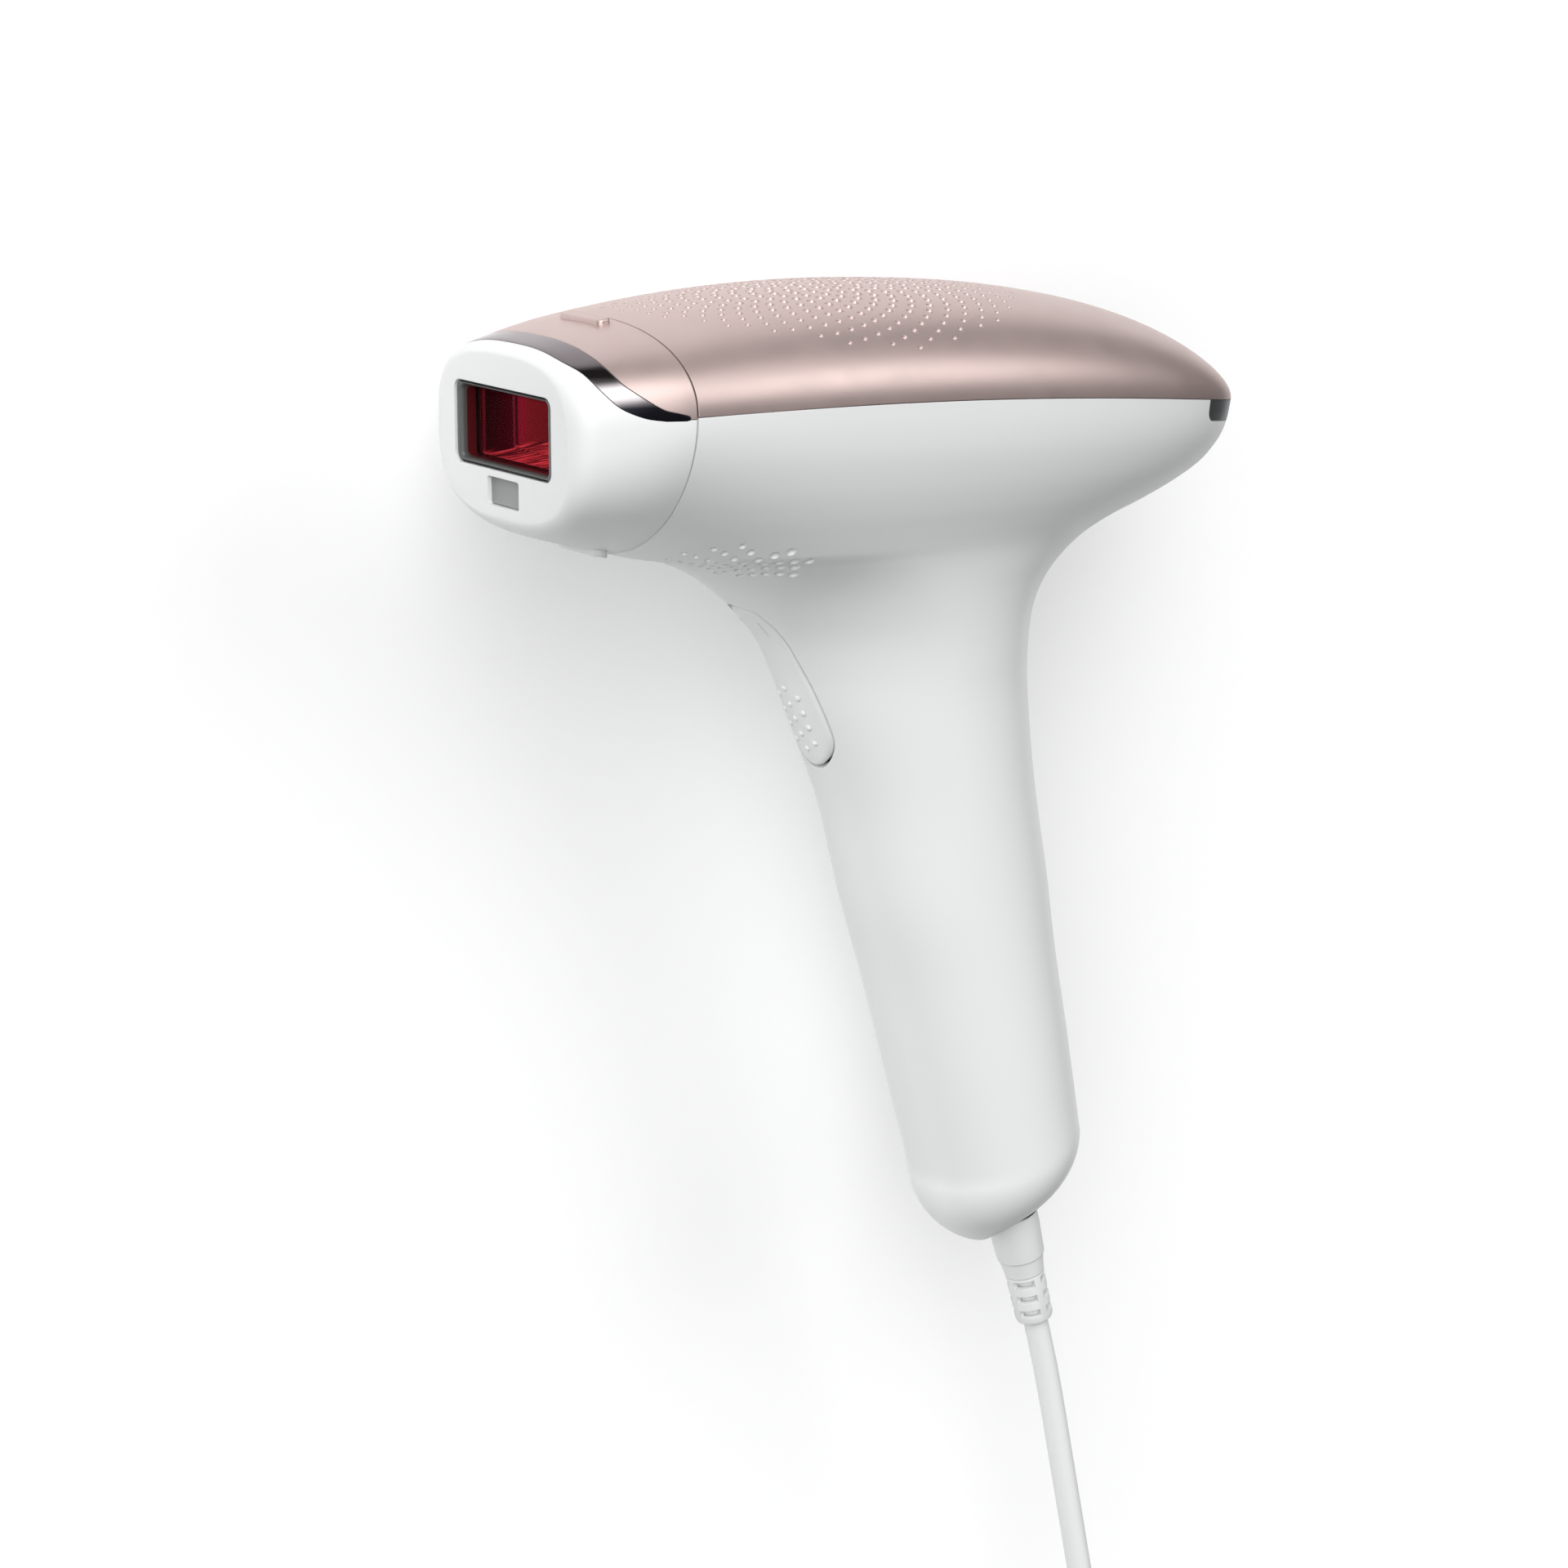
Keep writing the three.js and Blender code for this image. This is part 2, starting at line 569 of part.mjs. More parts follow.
function attachmentCarrier() {
  const plate = headLoft([8, 10], WALL + 0.5, 32);
  const arm = block(9.5, 15, -5, 5, -18, -15);
  return plate.add(arm).subtract(block(7, 11, -16.8, 16.8, -8, 8));
}

function sensorWindow() {
  const pane = block(0.9, 2.6, -SENSOR.half + GAP, SENSOR.half - GAP, SENSOR.bottom + GAP, SENSOR.top - GAP);
  return pane.add(block(FACE_WALL + GAP, 3.3, -6.8, 6.8, SENSOR.bottom - 1.2, SENSOR.top - 0.6));
}

function sensorBoard() {
  return block(5, 6.2, -8, 8, -17, -9.5).add(block(3.8, 5.4, -3, 3, -14, -10.8));
}

function attachmentContacts() {
  const base = block(15.3, 18.6, -6, 6, -18.2, -14.3);
  const fingers = [-4, -1.35, 1.35, 4].map((y) => block(18, 19.7, y - 0.7, y + 0.7, -17, -15.5));
  return union([base, ...fingers]);
}

function addAttachment() {
  part('attachment_shell', attachmentShell(), 'white');
  part('attachment_trim', noseSkin.intersect(trimRegion()), 'chrome');
  part('attachment_cover', noseSkin.intersect(roseRegion()).add(gripRidge(10, 40)), 'rose');
  part('window_frame', windowFrame(), 'frameGrey');
  part('filter_glass', filterGlass(), 'redGlass');
  part('attachment_reflector', attachmentReflector(), 'mirror');
  part('attachment_carrier', attachmentCarrier(), 'black');
  part('skin_sensor_window', sensorWindow(), 'sensorGrey');
  part('skin_sensor_board', sensorBoard(), 'board');
  part('attachment_contacts', attachmentContacts(), 'brass');
}

// ---- Lamp module behind the seam ----
const LAMP = { x: SEAM_X + 18.2, radius: 2.5, half: 15 };
const HOLDER = { fromX: SEAM_X + 4.3, toX: SEAM_X + 28, half: 21, high: 10.6, wall: 2 };

function frontFrame() {
  const inside = headLoft([SEAM_X - 7, SEAM_X + 9], 5, 28);
  const collar = headLoft([SEAM_X - 6, SEAM_X + 4], 3.5, 28).subtract(inside);
  const plate = headLoft([SEAM_X + 2, SEAM_X + 4], 3.6, 28);
  return collar.add(plate.subtract(block(SEAM_X, SEAM_X + 6, -18.7, 18.7, -8.3, 8.3)));
}

function connectorSocket() {
  const base = block(SEAM_X - 1, SEAM_X + 1.7, -6.5, 6.5, -18.6, -13.9);
  const pads = [-4, -1.35, 1.35, 4].map((y) => block(SEAM_X - 2, SEAM_X, y - 0.8, y + 0.8, -15.4, -15.1));
  return without(base, pads);
}

function lampHolder() {
  const { fromX, toX, half, high, wall } = HOLDER;
  const box = block(fromX, toX, -half, half, -high, high);
  return box.subtract(block(fromX - 1, toX - wall, -half + wall, half - wall, -high + wall, high - wall));
}

function troughProfile(deepX, mouthX, mouthHalf) {
  const pairs = [];
  const steps = 7;
  for (let i = -steps; i <= steps; i += 1) {
    const z = (mouthHalf * i) / steps;
    pairs.push([deepX - (deepX - mouthX) * (i / steps) ** 2, z]);
  }
  return pairs;
}

function lampReflector() {
  const mouth = SEAM_X + 7.4;
  const outer = troughProfile(SEAM_X + 24.6, mouth, 8.3);
  const inner = troughProfile(SEAM_X + 23.8, mouth - 0.1, 7.6);
  return plateY(polygon(outer), 14).subtract(plateY(polygon(inner), 20));
}

function electrode(side) {
  return rod(point(LAMP.x, side * (LAMP.half + GAP), 0), point(0, side, 0), 1.6, 3.4, 14);
}

function addLampModule() {
  part('front_frame', frontFrame(), 'white');
  part('connector_socket', connectorSocket(), 'black');
  part('lamp_holder', lampHolder(), 'ceramic');
  const glass = block(HOLDER.fromX + 0.5, HOLDER.fromX + 2.5, -18.7, 18.7, -8.3, 8.3);
  part('uv_filter_glass', glass, 'clearGlass');
  part('lamp_reflector', lampReflector(), 'mirror');
  part('flash_lamp', rod(point(LAMP.x, -LAMP.half, 0), Y_AXIS, LAMP.radius, 2 * LAMP.half, 20), 'clearGlass');
  part('lamp_electrode_left', electrode(-1), 'steel');
  part('lamp_electrode_right', electrode(1), 'steel');
}

// ---- Power parts and cooling ----
const BOARD = { fromX: 55, toX: 98, half: 19, bottom: -4, top: -2.4 };
const FAN = { x: 120, bottom: -7, top: 5, half: 20, bore: 18.6, hub: 8, blades: 7, shaft: 1.1 };

function chassis() {
  const { bottom, top, fromX, toX, half } = CHASSIS;
  const middle = (fromX + toX) / 2;
  const plate = plateZ(roundedRect((toX - fromX) / 2, half, 3, middle, 0), bottom, top);
  const boardPosts = [[59, 14], [59, -14], [94, 14], [94, -14]].map(([x, y]) =>
    rod(point(x, y, top - 0.5), Z_AXIS, 2.2, BOARD.bottom - GAP - top + 0.5, 8));
  const fanPosts = [[104, 14.5], [104, -14.5], [136, 14.5], [136, -14.5]].map(([x, y]) =>
    rod(point(x, y, top - 0.5), Z_AXIS, 2.2, FAN.bottom - GAP - top + 0.5, 8));
  return without(union([plate, ...boardPosts, ...fanPosts]), [
    rod(point(FAN.x, 0, bottom - 1), Z_AXIS, 13, 4, 28),
    rod(point(82, 0, bottom - 1), Z_AXIS, 8, 4, 20),
    ...POSTS.map(([x, y]) => rod(point(x, y, bottom - 1), Z_AXIS, SCREW.hole, 4, 10)),
  ]);
}

function screw(x, y) {
  const { shank, head } = SCREW;
  const profile = [[0, -8], [shank, -7], [shank, GAP], [head, GAP], [head, 1.2], [1.6, 2], [0, 2]];
  return turned(profile, point(x, y, CHASSIS.top), Z_AXIS, 14);
}

function coil() {
  const { top } = BOARD;
  const wound = [[2.4, 0.8], [2.4, 7.2], [4.4, 8], [6.6, 7.2], [6.6, 0.8], [4.4, GAP], [2.4, 0.8]];
  return turned(wound, point(66, 9, top), Z_AXIS, 20);
}

function transformer() {
  const z = BOARD.top + GAP;
  const core = block(60, 74, -14, -2, z, z + 3);
  return union([core, block(60, 74, -11, -5, z, z + 11), block(61.5, 72.5, -13, -3, z + 2, z + 9)]);
}

function transistor() {
  const z = BOARD.top + GAP;
  return block(84, 88.6, -5, 5, z, z + 9).add(block(87.3, 88.6, -5, 5, z, z + 14));
}

function capacitor() {
  const profile = [[0, 0], [12, 0], [13, 1], [13, 2.5], [12.4, 3.2], [13, 3.9], [13, 57], [12, 58], [0, 58]];
  return turned(profile, point(98.3, 0, -72), point(0.24, 0, -0.971), 28);
}

function fanHousing() {
  const { x, bottom, top, half, bore } = FAN;
  const frame = plateZ(roundedRect(half + 0.4, half, 3, x, 0), bottom, top);
  const ring = frame.subtract(rod(point(x, 0, bottom - 1), Z_AXIS, bore, top - bottom + 2, 40));
  const struts = [0, 1, 2].map((i) => {
    const angle = (2 * Math.PI * i) / 3;
    const strut = new THREE.BoxGeometry(bore, 2, 1.4).translate(bore / 2 + 0.5, 0, bottom + 0.7);
    return toSolid(strut.rotateZ(angle).translate(x, 0, 0));
  });
  return union([ring, rod(point(x, 0, bottom), Z_AXIS, 7, 1.4, 20), ...struts]);
}

function fanMotor() {
  const z = FAN.bottom + 1.4 + GAP;
  return rod(point(FAN.x, 0, z), Z_AXIS, 6.4, 4, 20).add(rod(point(FAN.x, 0, z), Z_AXIS, FAN.shaft, 9.6, 16));
}

function fanImpeller() {
  const z = -0.9;
  const hub = rod(point(FAN.x, 0, z), Z_AXIS, FAN.hub, 4.6, 28);
  const blades = [];
  for (let i = 0; i < FAN.blades; i += 1) {
    const reach = FAN.bore - 0.8 - FAN.hub;
    const blade = new THREE.BoxGeometry(reach + 0.6, 0.9, 5);
    blade.rotateX(0.75).translate(FAN.hub + reach / 2 - 0.3, 0, z + 2.3);
    blades.push(toSolid(blade.rotateZ((2 * Math.PI * i) / FAN.blades).translate(FAN.x, 0, 0)));
  }
  return union([hub, ...blades]).subtract(rod(point(FAN.x, 0, z - 2), Z_AXIS, FAN.shaft + 0.08, 10, 16));
}

function addPowerParts() {
  part('chassis', chassis(), 'black');
  POSTS.forEach(([x, y], i) => part(`chassis_screw_${i + 1}`, screw(x, y), 'steel'));
  const { fromX, toX, half, bottom, top } = BOARD;
  part('power_board', block(fromX, toX, -half, half, bottom, top), 'board');
  part('trigger_transformer', transformer(), 'ceramic');
  part('charging_coil', coil(), 'copper');
  part('power_transistor', transistor(), 'black');
  part('storage_capacitor', capacitor(), 'sleeve');
  part('fan_housing', fanHousing(), 'black');
  part('fan_motor', fanMotor(), 'steel');
  part('fan_impeller', fanImpeller(), 'darkGrey');
}

// ---- Flash button and its switch ----
const PIVOT = { at: [65.2, -43.4], pin: 1, bore: 1.1 };
const LEVER_U = 29;

function pivotRod(radius, half) {
  return rod(point(PIVOT.at[0], -half, PIVOT.at[1]), Y_AXIS, radius, 2 * half, 16);
}

function flashButton() {
  const skin = outerLower.intersect(buttonPrism(-GAP / 2, -8, 12)).subtract(lowerBody(32, 1, BUTTON.thick));
  const lugOutline = [[57, -43.6], [60, -46.9], [65.4, -45.6], [67.2, -43.4], [65.4, -41.4], [62, -40.9]];
  const lug = plateY(polygon(lugOutline), 3);
  return skin.add(lug.intersect(outerLower)).subtract(pivotRod(PIVOT.bore, 6));
}

function inButtonFrame(u0, u1, y0, y1, n0, n1) {
  const geometry = new THREE.BoxGeometry(u1 - u0, y1 - y0, n1 - n0);
  geometry.translate((u0 + u1) / 2, (y0 + y1) / 2, (n0 + n1) / 2);
  const turn = new THREE.Matrix4().makeBasis(buttonAlong, Y_AXIS.clone().negate(), buttonIn);
  return toSolid(geometry.applyMatrix4(turn).translate(buttonTop.x, 0, buttonTop.z));
}

function triggerBracket() {
  const earOutline = [[63.4, -43], [63.6, -40.6], [66.5, -37.4], [72, -46], [71.5, -48.6], [65, -45.9]];
  const ears = plateY(polygon(earOutline), 5.4);
  const spine = inButtonFrame(3, 36, -5.4, 5.4, 11.4, 13);
  return ears.subtract(block(50, 80, -3.4, 3.4, -60, -30)).add(spine).subtract(pivotRod(PIVOT.bore, 8));
}

function flashSwitch() {
  const box = inButtonFrame(LEVER_U - 3.5, LEVER_U + 3.5, -3.5, 3.5, 7.4, 11.1);
  return box.subtract(rod(buttonPoint(LEVER_U, 0, 5), buttonIn, 1.65, 5.4, 16));
}

function addFlashButton() {
  part('flash_button', flashButton(), 'white');
  part('flash_button_pin', pivotRod(PIVOT.pin, 5.8), 'steel');
  part('trigger_bracket', triggerBracket(), 'black');
  part('flash_switch', flashSwitch(), 'black');
  part('flash_switch_plunger', rod(buttonPoint(LEVER_U, 0, 5.4), buttonIn, 1.5, 3.8, 16), 'darkGrey');
}

// ---- Rear keys ----
function keyCap(key) {
  const skin = outerLower.intersect(keyRod(key, 0, -6, 4));
  return skin.subtract(lowerBody(32, 1, WALL));
}

function keySwitch(key) {
  const start = key.at.clone().addScaledVector(key.out, -6.1);
  return rod(start, key.out, 1.8, 2, 14);
}

function controlBoard() {
  const facing = point(0.593, 0, -0.805);
  const geometry = new THREE.BoxGeometry(13, 20, 1.2);
  geometry.rotateY(Math.atan2(facing.x, facing.z));
  return toSolid(geometry.translate(160.7, 0, -14.7));
}

function lightGuide() {
  const bar = block(166.9, 168.1, -8.5, 8.5, -11, -8.6);
  const lenses = [-2, -1, 0, 1, 2].map((i) => block(167.8, 168.8, i * 3 - 1, i * 3 + 1, -10.7, -8.9));
  return union([bar, ...lenses]);
}

function addRearKeys() {
  part('power_button', keyCap(POWER_KEY), 'white');
  part('skin_check_button', keyCap(CHECK_KEY), 'white');
  part('power_switch', keySwitch(POWER_KEY), 'darkGrey');
  part('skin_check_switch', keySwitch(CHECK_KEY), 'darkGrey');
  part('control_board', controlBoard(), 'board');
  part('light_guide', lightGuide(), 'clearGlass');
}

// ---- Socket, plug and cord ----
const BOOT = { from: 14.5, to: 26.1, outer: 4.3, inner: 3, rows: 3, pitch: 3.65, firstSlot: 1.4, slot: 1.6 };
const CORD = { radius: 2.7, bendFrom: 29, bendTo: 50, endZ: -292, out: point(0.205, 0, -0.9788) };

function plugPoint(s) {
  return PLUG.at.clone().addScaledVector(PLUG.out, s);
}

function dcSocket() {
  const { radius, boreRadius, face, back, boreBack } = SOCKET;
  const profile = [
    [0, back], [radius, back], [radius, face], [boreRadius, face],
    [boreRadius, boreBack], [0.85, boreBack], [0.85, face - 2], [0, face - 1.6],
  ];
  return turned(profile, PLUG.at, PLUG.out, 28);
}

function plugBarrel() {
  const profile = [[1.25, -10.6], [2.75, -10.6], [2.75, -0.9], [1.25, -0.9], [1.25, -10.6]];
  return turned(profile, PLUG.at, PLUG.out, 24);
}

function plugGrip() {
  const shoulder = [[5.25, 9.8], [5.05, 10.6], [4.35, 13.8], [4.35, 14.2]];
  const profile = [[0, -0.6], [5.2, -0.6], [5.6, 0.1], [5.6, 3], ...shoulder, [0, 14.2]];
  return turned(profile, PLUG.at, PLUG.out, 28);
}

// Bend relief: a sleeve with rows of four slots, each row turned with respect to the one before.
function cordBoot() {
  const { from, to, outer, inner, rows, pitch, firstSlot, slot } = BOOT;
  const rim = [[outer - 0.1, to - 0.4], [outer - 0.5, to]];
  const profile = [[inner, from], [outer, from], ...rim, [inner, to], [inner, from]];
  const cuts = [];
  for (let row = 0; row < rows; row += 1) {
    for (let k = 0; k < 4; k += 1) {
      const cut = new THREE.BoxGeometry(3, 5, slot).translate(outer, 0, from + firstSlot + row * pitch);
      cut.rotateZ((Math.PI / 2) * (k + 0.5));
      cuts.push(toSolid(along(cut, PLUG.at, PLUG.out)));
    }
  }
  return without(turned(profile, PLUG.at, PLUG.out, 16), cuts);
}

function cordPath() {
  const start = plugPoint(BOOT.from + GAP);
  const bendStart = plugPoint(CORD.bendFrom);
  const bendMiddle = plugPoint((CORD.bendFrom + CORD.bendTo) / 2);
  const bendEnd = bendMiddle.clone().addScaledVector(CORD.out, (CORD.bendTo - CORD.bendFrom) / 2);
  const end = bendEnd.clone().addScaledVector(CORD.out, (CORD.endZ - bendEnd.z) / CORD.out.z);
  const path = new THREE.CurvePath();
  path.add(new THREE.LineCurve3(start, bendStart));
  path.add(new THREE.QuadraticBezierCurve3(bendStart, bendMiddle, bendEnd));
  path.add(new THREE.LineCurve3(bendEnd, end));
  return path;
}

function powerCord() {
  const circle = new THREE.Shape().absarc(0, 0, CORD.radius, 0, 2 * Math.PI);
  const options = { steps: 12, bevelEnabled: false, curveSegments: 8, extrudePath: cordPath() };
  return toSolid(new THREE.ExtrudeGeometry(circle, options));
}

function addPlug() {
  part('dc_socket', dcSocket(), 'black');
  part('plug_barrel', plugBarrel(), 'steel');
  part('plug_grip', plugGrip(), 'white');
  part('cord_boot', cordBoot(), 'white');
  part('power_cord', powerCord(), 'white');
}

part('body_housing', housing(), 'white');
part('top_cover', topCover(), 'rose');
part('rear_light_strip', lightStrip(), 'darkGrey');
addAttachment();
addLampModule();
addPowerParts();
addFlashButton();
addRearKeys();
addPlug();

export default model;
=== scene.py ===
"""Looks of the IPL hair remover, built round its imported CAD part.

Shapes are written in millimetres from the skin plane the nose touches, and moved into the frame
(metres, origin in the middle of the treatment glass) when each piece is finished.
"""

import json
import math

import bmesh
import bpy
import numpy as np
from mathutils import Matrix, Vector
from mathutils.bvhtree import BVHTree


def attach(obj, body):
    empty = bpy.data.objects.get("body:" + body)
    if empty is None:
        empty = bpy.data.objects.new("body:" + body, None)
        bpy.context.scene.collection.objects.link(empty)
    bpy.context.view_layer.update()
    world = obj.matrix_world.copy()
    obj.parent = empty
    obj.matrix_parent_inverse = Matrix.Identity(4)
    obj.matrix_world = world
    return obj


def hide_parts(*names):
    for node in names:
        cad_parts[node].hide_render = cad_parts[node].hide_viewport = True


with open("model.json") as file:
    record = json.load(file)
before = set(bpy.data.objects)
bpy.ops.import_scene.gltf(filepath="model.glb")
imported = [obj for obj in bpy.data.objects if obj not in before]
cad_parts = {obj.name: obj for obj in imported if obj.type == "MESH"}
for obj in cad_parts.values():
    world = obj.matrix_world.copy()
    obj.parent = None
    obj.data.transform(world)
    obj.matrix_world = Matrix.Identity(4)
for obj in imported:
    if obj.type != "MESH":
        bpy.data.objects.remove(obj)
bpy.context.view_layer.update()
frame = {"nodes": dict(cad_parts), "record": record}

# ---- Driving dimensions, mm ----
RECESS = 1.5
SEAM_X = 21.8
TAIL_X = 172.3
WALL = 2.0
SEAM_GAP = 0.15
LINE_GAP = 0.05
SPARE = 6.0
# Reach of the cutting shapes, past the object on every side.
CUT_FRONT, CUT_REAR, CUT_SIDE, CUT_FAR = -20, 190, 60, 300

# Rows of the lower body: front x and z, rear x and z, half width, widest x, powers of bow, tail, side.
ROWS = np.array([
    [21.8, 4.56, 172.3, -7.35, 35.6, 62, 2.2, 2, 3.7],
    [21.8, 0, 171.9, -11.8, 35.2, 63, 2.2, 2, 3.5],
    [21.8, -5, 170.8, -15.8, 34.3, 65, 2.2, 2, 3.2],
    [21.8, -11, 167.5, -20, 32.5, 68, 2.2, 2, 2.9],
    [21.8, -16.5, 161.8, -23.6, 30.3, 72, 2.2, 2, 2.6],
    [21.8, -21.5, 154.6, -26.6, 28, 76, 2.2, 2, 2.4],
    [21.8, -25.6, 147, -29, 26.2, 80, 2.2, 2, 2.3],
    [34, -28.7, 139.8, -32, 24.8, 84, 2.1, 2, 2.2],
    [43.3, -32.6, 133.8, -35.8, 23.5, 88, 1.9, 2, 2.1],
    [50.9, -38, 128.9, -40.7, 22.2, 91, 1.7, 2, 2],
    [58.9, -46, 125.6, -46.5, 20.9, 94, 1.6, 2, 2],
    [63.8, -54.2, 124.5, -54, 19.9, 96, 1.6, 2, 2],
    [68, -64, 124.6, -64, 19.2, 97.5, 1.65, 2, 2],
    [76.9, -84.5, 126.6, -83.5, 18.8, 102, 1.8, 2, 2],
    [83.5, -107, 130.1, -105, 18.6, 107, 2, 2, 2.1],
    [89.4, -125, 132.4, -121, 18.5, 111, 2, 2, 2.1],
    [95.6, -146.2, 135.9, -139.8, 18.4, 115.9, 2, 2, 2.1],
    [102.6, -170, 139.8, -162, 18, 121.3, 2, 2, 2.1],
])
OPEN_ROWS = 6
PARTING_RISE = 2.94
FOOT_DEPTH, FOOT_DRIFT = 17.4, 0.02
# Power that packs a ring's points towards its front and rear tips.
PACKING = 1.5
SEAM = {"half": 33.5, "top": 19.96, "bottom": -25.54, "up": 2.26, "down": 1.87}
NOSE = {"half": 22.1, "top": 14.0, "bottom": -16.7, "power": 3.0, "edge": 4.5, "share": 0.28, "flare": 1.15}
PLAN = {"half": 35.6, "widest": 62.0, "tail": 2.0, "side": 3.7}
CREST = {"rise": 20.0, "high": 86.0, "seam": 15.4, "end": 2.8, "side": 1.7, "arch": 2.26}
# The cover's last section stops this share of a station before the tail, and none is smaller than these.
TAIL_SHARE, MIN_HALF, MIN_RISE = 0.35, 0.5, 0.2


# ---- Shape of the body ----
def parting_height(x):
    t = (np.asarray(x, float) - SEAM_X) / (TAIL_X - SEAM_X)
    return ROWS[0, 1] + (ROWS[0, 3] - ROWS[0, 1]) * t + 4 * PARTING_RISE * t * (1 - t)


def spline(a, b, c, d, t):
    """Catmull-Rom value between b and c."""
    return b + 0.5 * t * (c - a + t * (2 * a - 5 * b + 4 * c - d + t * (3 * (b - c) + d - a)))


def row_at(s):
    """ROWS at a fractional row number."""
    i = min(len(ROWS) - 2, int(s))
    t = s - i
    rows = [ROWS[min(len(ROWS) - 1, max(0, k))] for k in (i - 1, i, i + 1, i + 2)]
    return spline(*rows, t)


def seam_half(z):
    """Half width of the body at the seam, at a height below the parting line."""
    drop = np.clip((ROWS[0, 1] - z) / (ROWS[0, 1] - ROWS[OPEN_ROWS, 1]), 0, 1)
    return SEAM["half"] * (1 - drop ** SEAM["down"]) ** (1 / SEAM["down"])


def row_ring(s, count, inset, lift):
    """One ring of the lower body, from its front tip round one side to the tail and back."""
    front_x, front_z, rear_x, rear_z, half, widest, bow, tail, side = row_at(s)
    start_x = front_x
    rise = PARTING_RISE * max(0.0, 1 - s / OPEN_ROWS) ** 2
    if s < OPEN_ROWS:
        closing = 1 - (seam_half(front_z) / half) ** side
        start_x = SEAM_X
        front_x = widest - (widest - SEAM_X) / closing ** (1 / bow)
    i = np.arange(count)
    j = np.minimum(i, count - i)
    sign = np.where(i < count / 2, -1.0, 1.0)
    quarter = count / 4
    front = j < quarter
    v = np.where(front, j / quarter, (count / 2 - j) / quarter)
    angle = np.pi / 2 * v ** PACKING
    reach = np.clip(np.cos(angle), 0, 1) ** (2 / np.where(front, bow, tail))
    x_front = widest - (widest - front_x - inset) * reach
    x_rear = widest + (rear_x - inset - widest) * reach
    x = np.where(front, x_front, x_rear)
    y = sign * (half - inset) * np.sin(angle) ** (2 / side)
    y[(j == 0) | (j == count // 2)] = 0
    t = (x - start_x) / (rear_x - start_x)
    z = front_z + (rear_z - front_z) * t + 4 * rise * np.maximum(0, t) * (1 - t) + lift
    return np.stack([x, y, z], 1)


def lower_rings(count, steps, inset):
    """Rings from above the parting line down to the foot; steps(row) gives the rings per row."""
    top = row_ring(0, count, inset, SPARE)
    rings = [top]
    last = len(ROWS) - 1
    for row in range(last):
        parts = steps(row)
        rings += [row_ring(row + k / parts, count, inset, inset) for k in range(parts)]
    end = row_ring(last, count, inset, inset)
    rings.append(end)
    middle = (ROWS[last, 0] + ROWS[last, 2]) / 2
    bends = max(4, steps(last) * 3)
    for k in range(1, bends):
        angle = math.pi / 2 * k / bends
        drop = (FOOT_DEPTH - inset) * math.sin(angle)
        ring = end.copy()
        ring[:, 0] = middle + (end[:, 0] - middle) * math.cos(angle) + FOOT_DRIFT * drop
        ring[:, 1] *= math.cos(angle)
        ring[:, 2] -= drop
        rings.append(ring)
    return rings


def plan_half(x):
    t = np.clip((PLAN["widest"] - x) / (PLAN["widest"] - SEAM_X), 0, None)
    u = np.clip((x - PLAN["widest"]) / (TAIL_X - PLAN["widest"]), 0, 1)
    ahead = PLAN["half"] - (PLAN["half"] - SEAM["half"]) * t * t
    behind = PLAN["half"] * (1 - u ** PLAN["tail"]) ** (1 / PLAN["side"])
    return np.where(x < PLAN["widest"], ahead, behind)


def crest_rise(x):
    t = np.clip((CREST["high"] - x) / (CREST["high"] - SEAM_X), 0, None)
    u = np.clip((x - CREST["high"]) / (TAIL_X - CREST["high"]), 0, 1)
    ahead = CREST["rise"] - (CREST["rise"] - CREST["seam"]) * t * t
    behind = CREST["rise"] * (1 - u ** CREST["end"]) ** (1 / CREST["side"])
    return np.where(x < CREST["high"], ahead, behind)


def arch_height(x, y):
    """Height of the top cover's outer face over a point of the plan."""
    share = np.clip(np.abs(y) / plan_half(x), 0, 1)
    angle = np.arccos(share ** (CREST["arch"] / 2))
    return parting_height(x) + crest_rise(x) * np.sin(angle) ** (2 / CREST["arch"])


def upper_rings(count, stations, inset):
    """Arched sections of the top cover, from ahead of the seam to the tail."""
    rings = []
    start = SEAM_X - SPARE
    for k in range(stations + 1):
        t = math.sin(math.pi / 2 * k / (stations + TAIL_SHARE))
        outer_x = start + (TAIL_X - start) * t
        x = start + (TAIL_X - inset - start) * t
        b = max(float(plan_half(outer_x)) - inset, MIN_HALF)
        h = max(float(crest_rise(outer_x)) - inset, MIN_RISE)
        angle = np.linspace(0, np.pi, count)
        c = np.cos(angle)
        y = b * np.sign(c) * np.abs(c) ** (2 / CREST["arch"])
        z = parting_height(x) + h * np.clip(np.sin(angle), 0, 1) ** (2 / CREST["arch"])
        low = float(parting_height(x)) - SPARE
        arch = np.stack([np.full(count, x), y, z], 1)
        rings.append(np.vstack([arch, [[x, -b, low], [x, b, low]]]))
    return rings


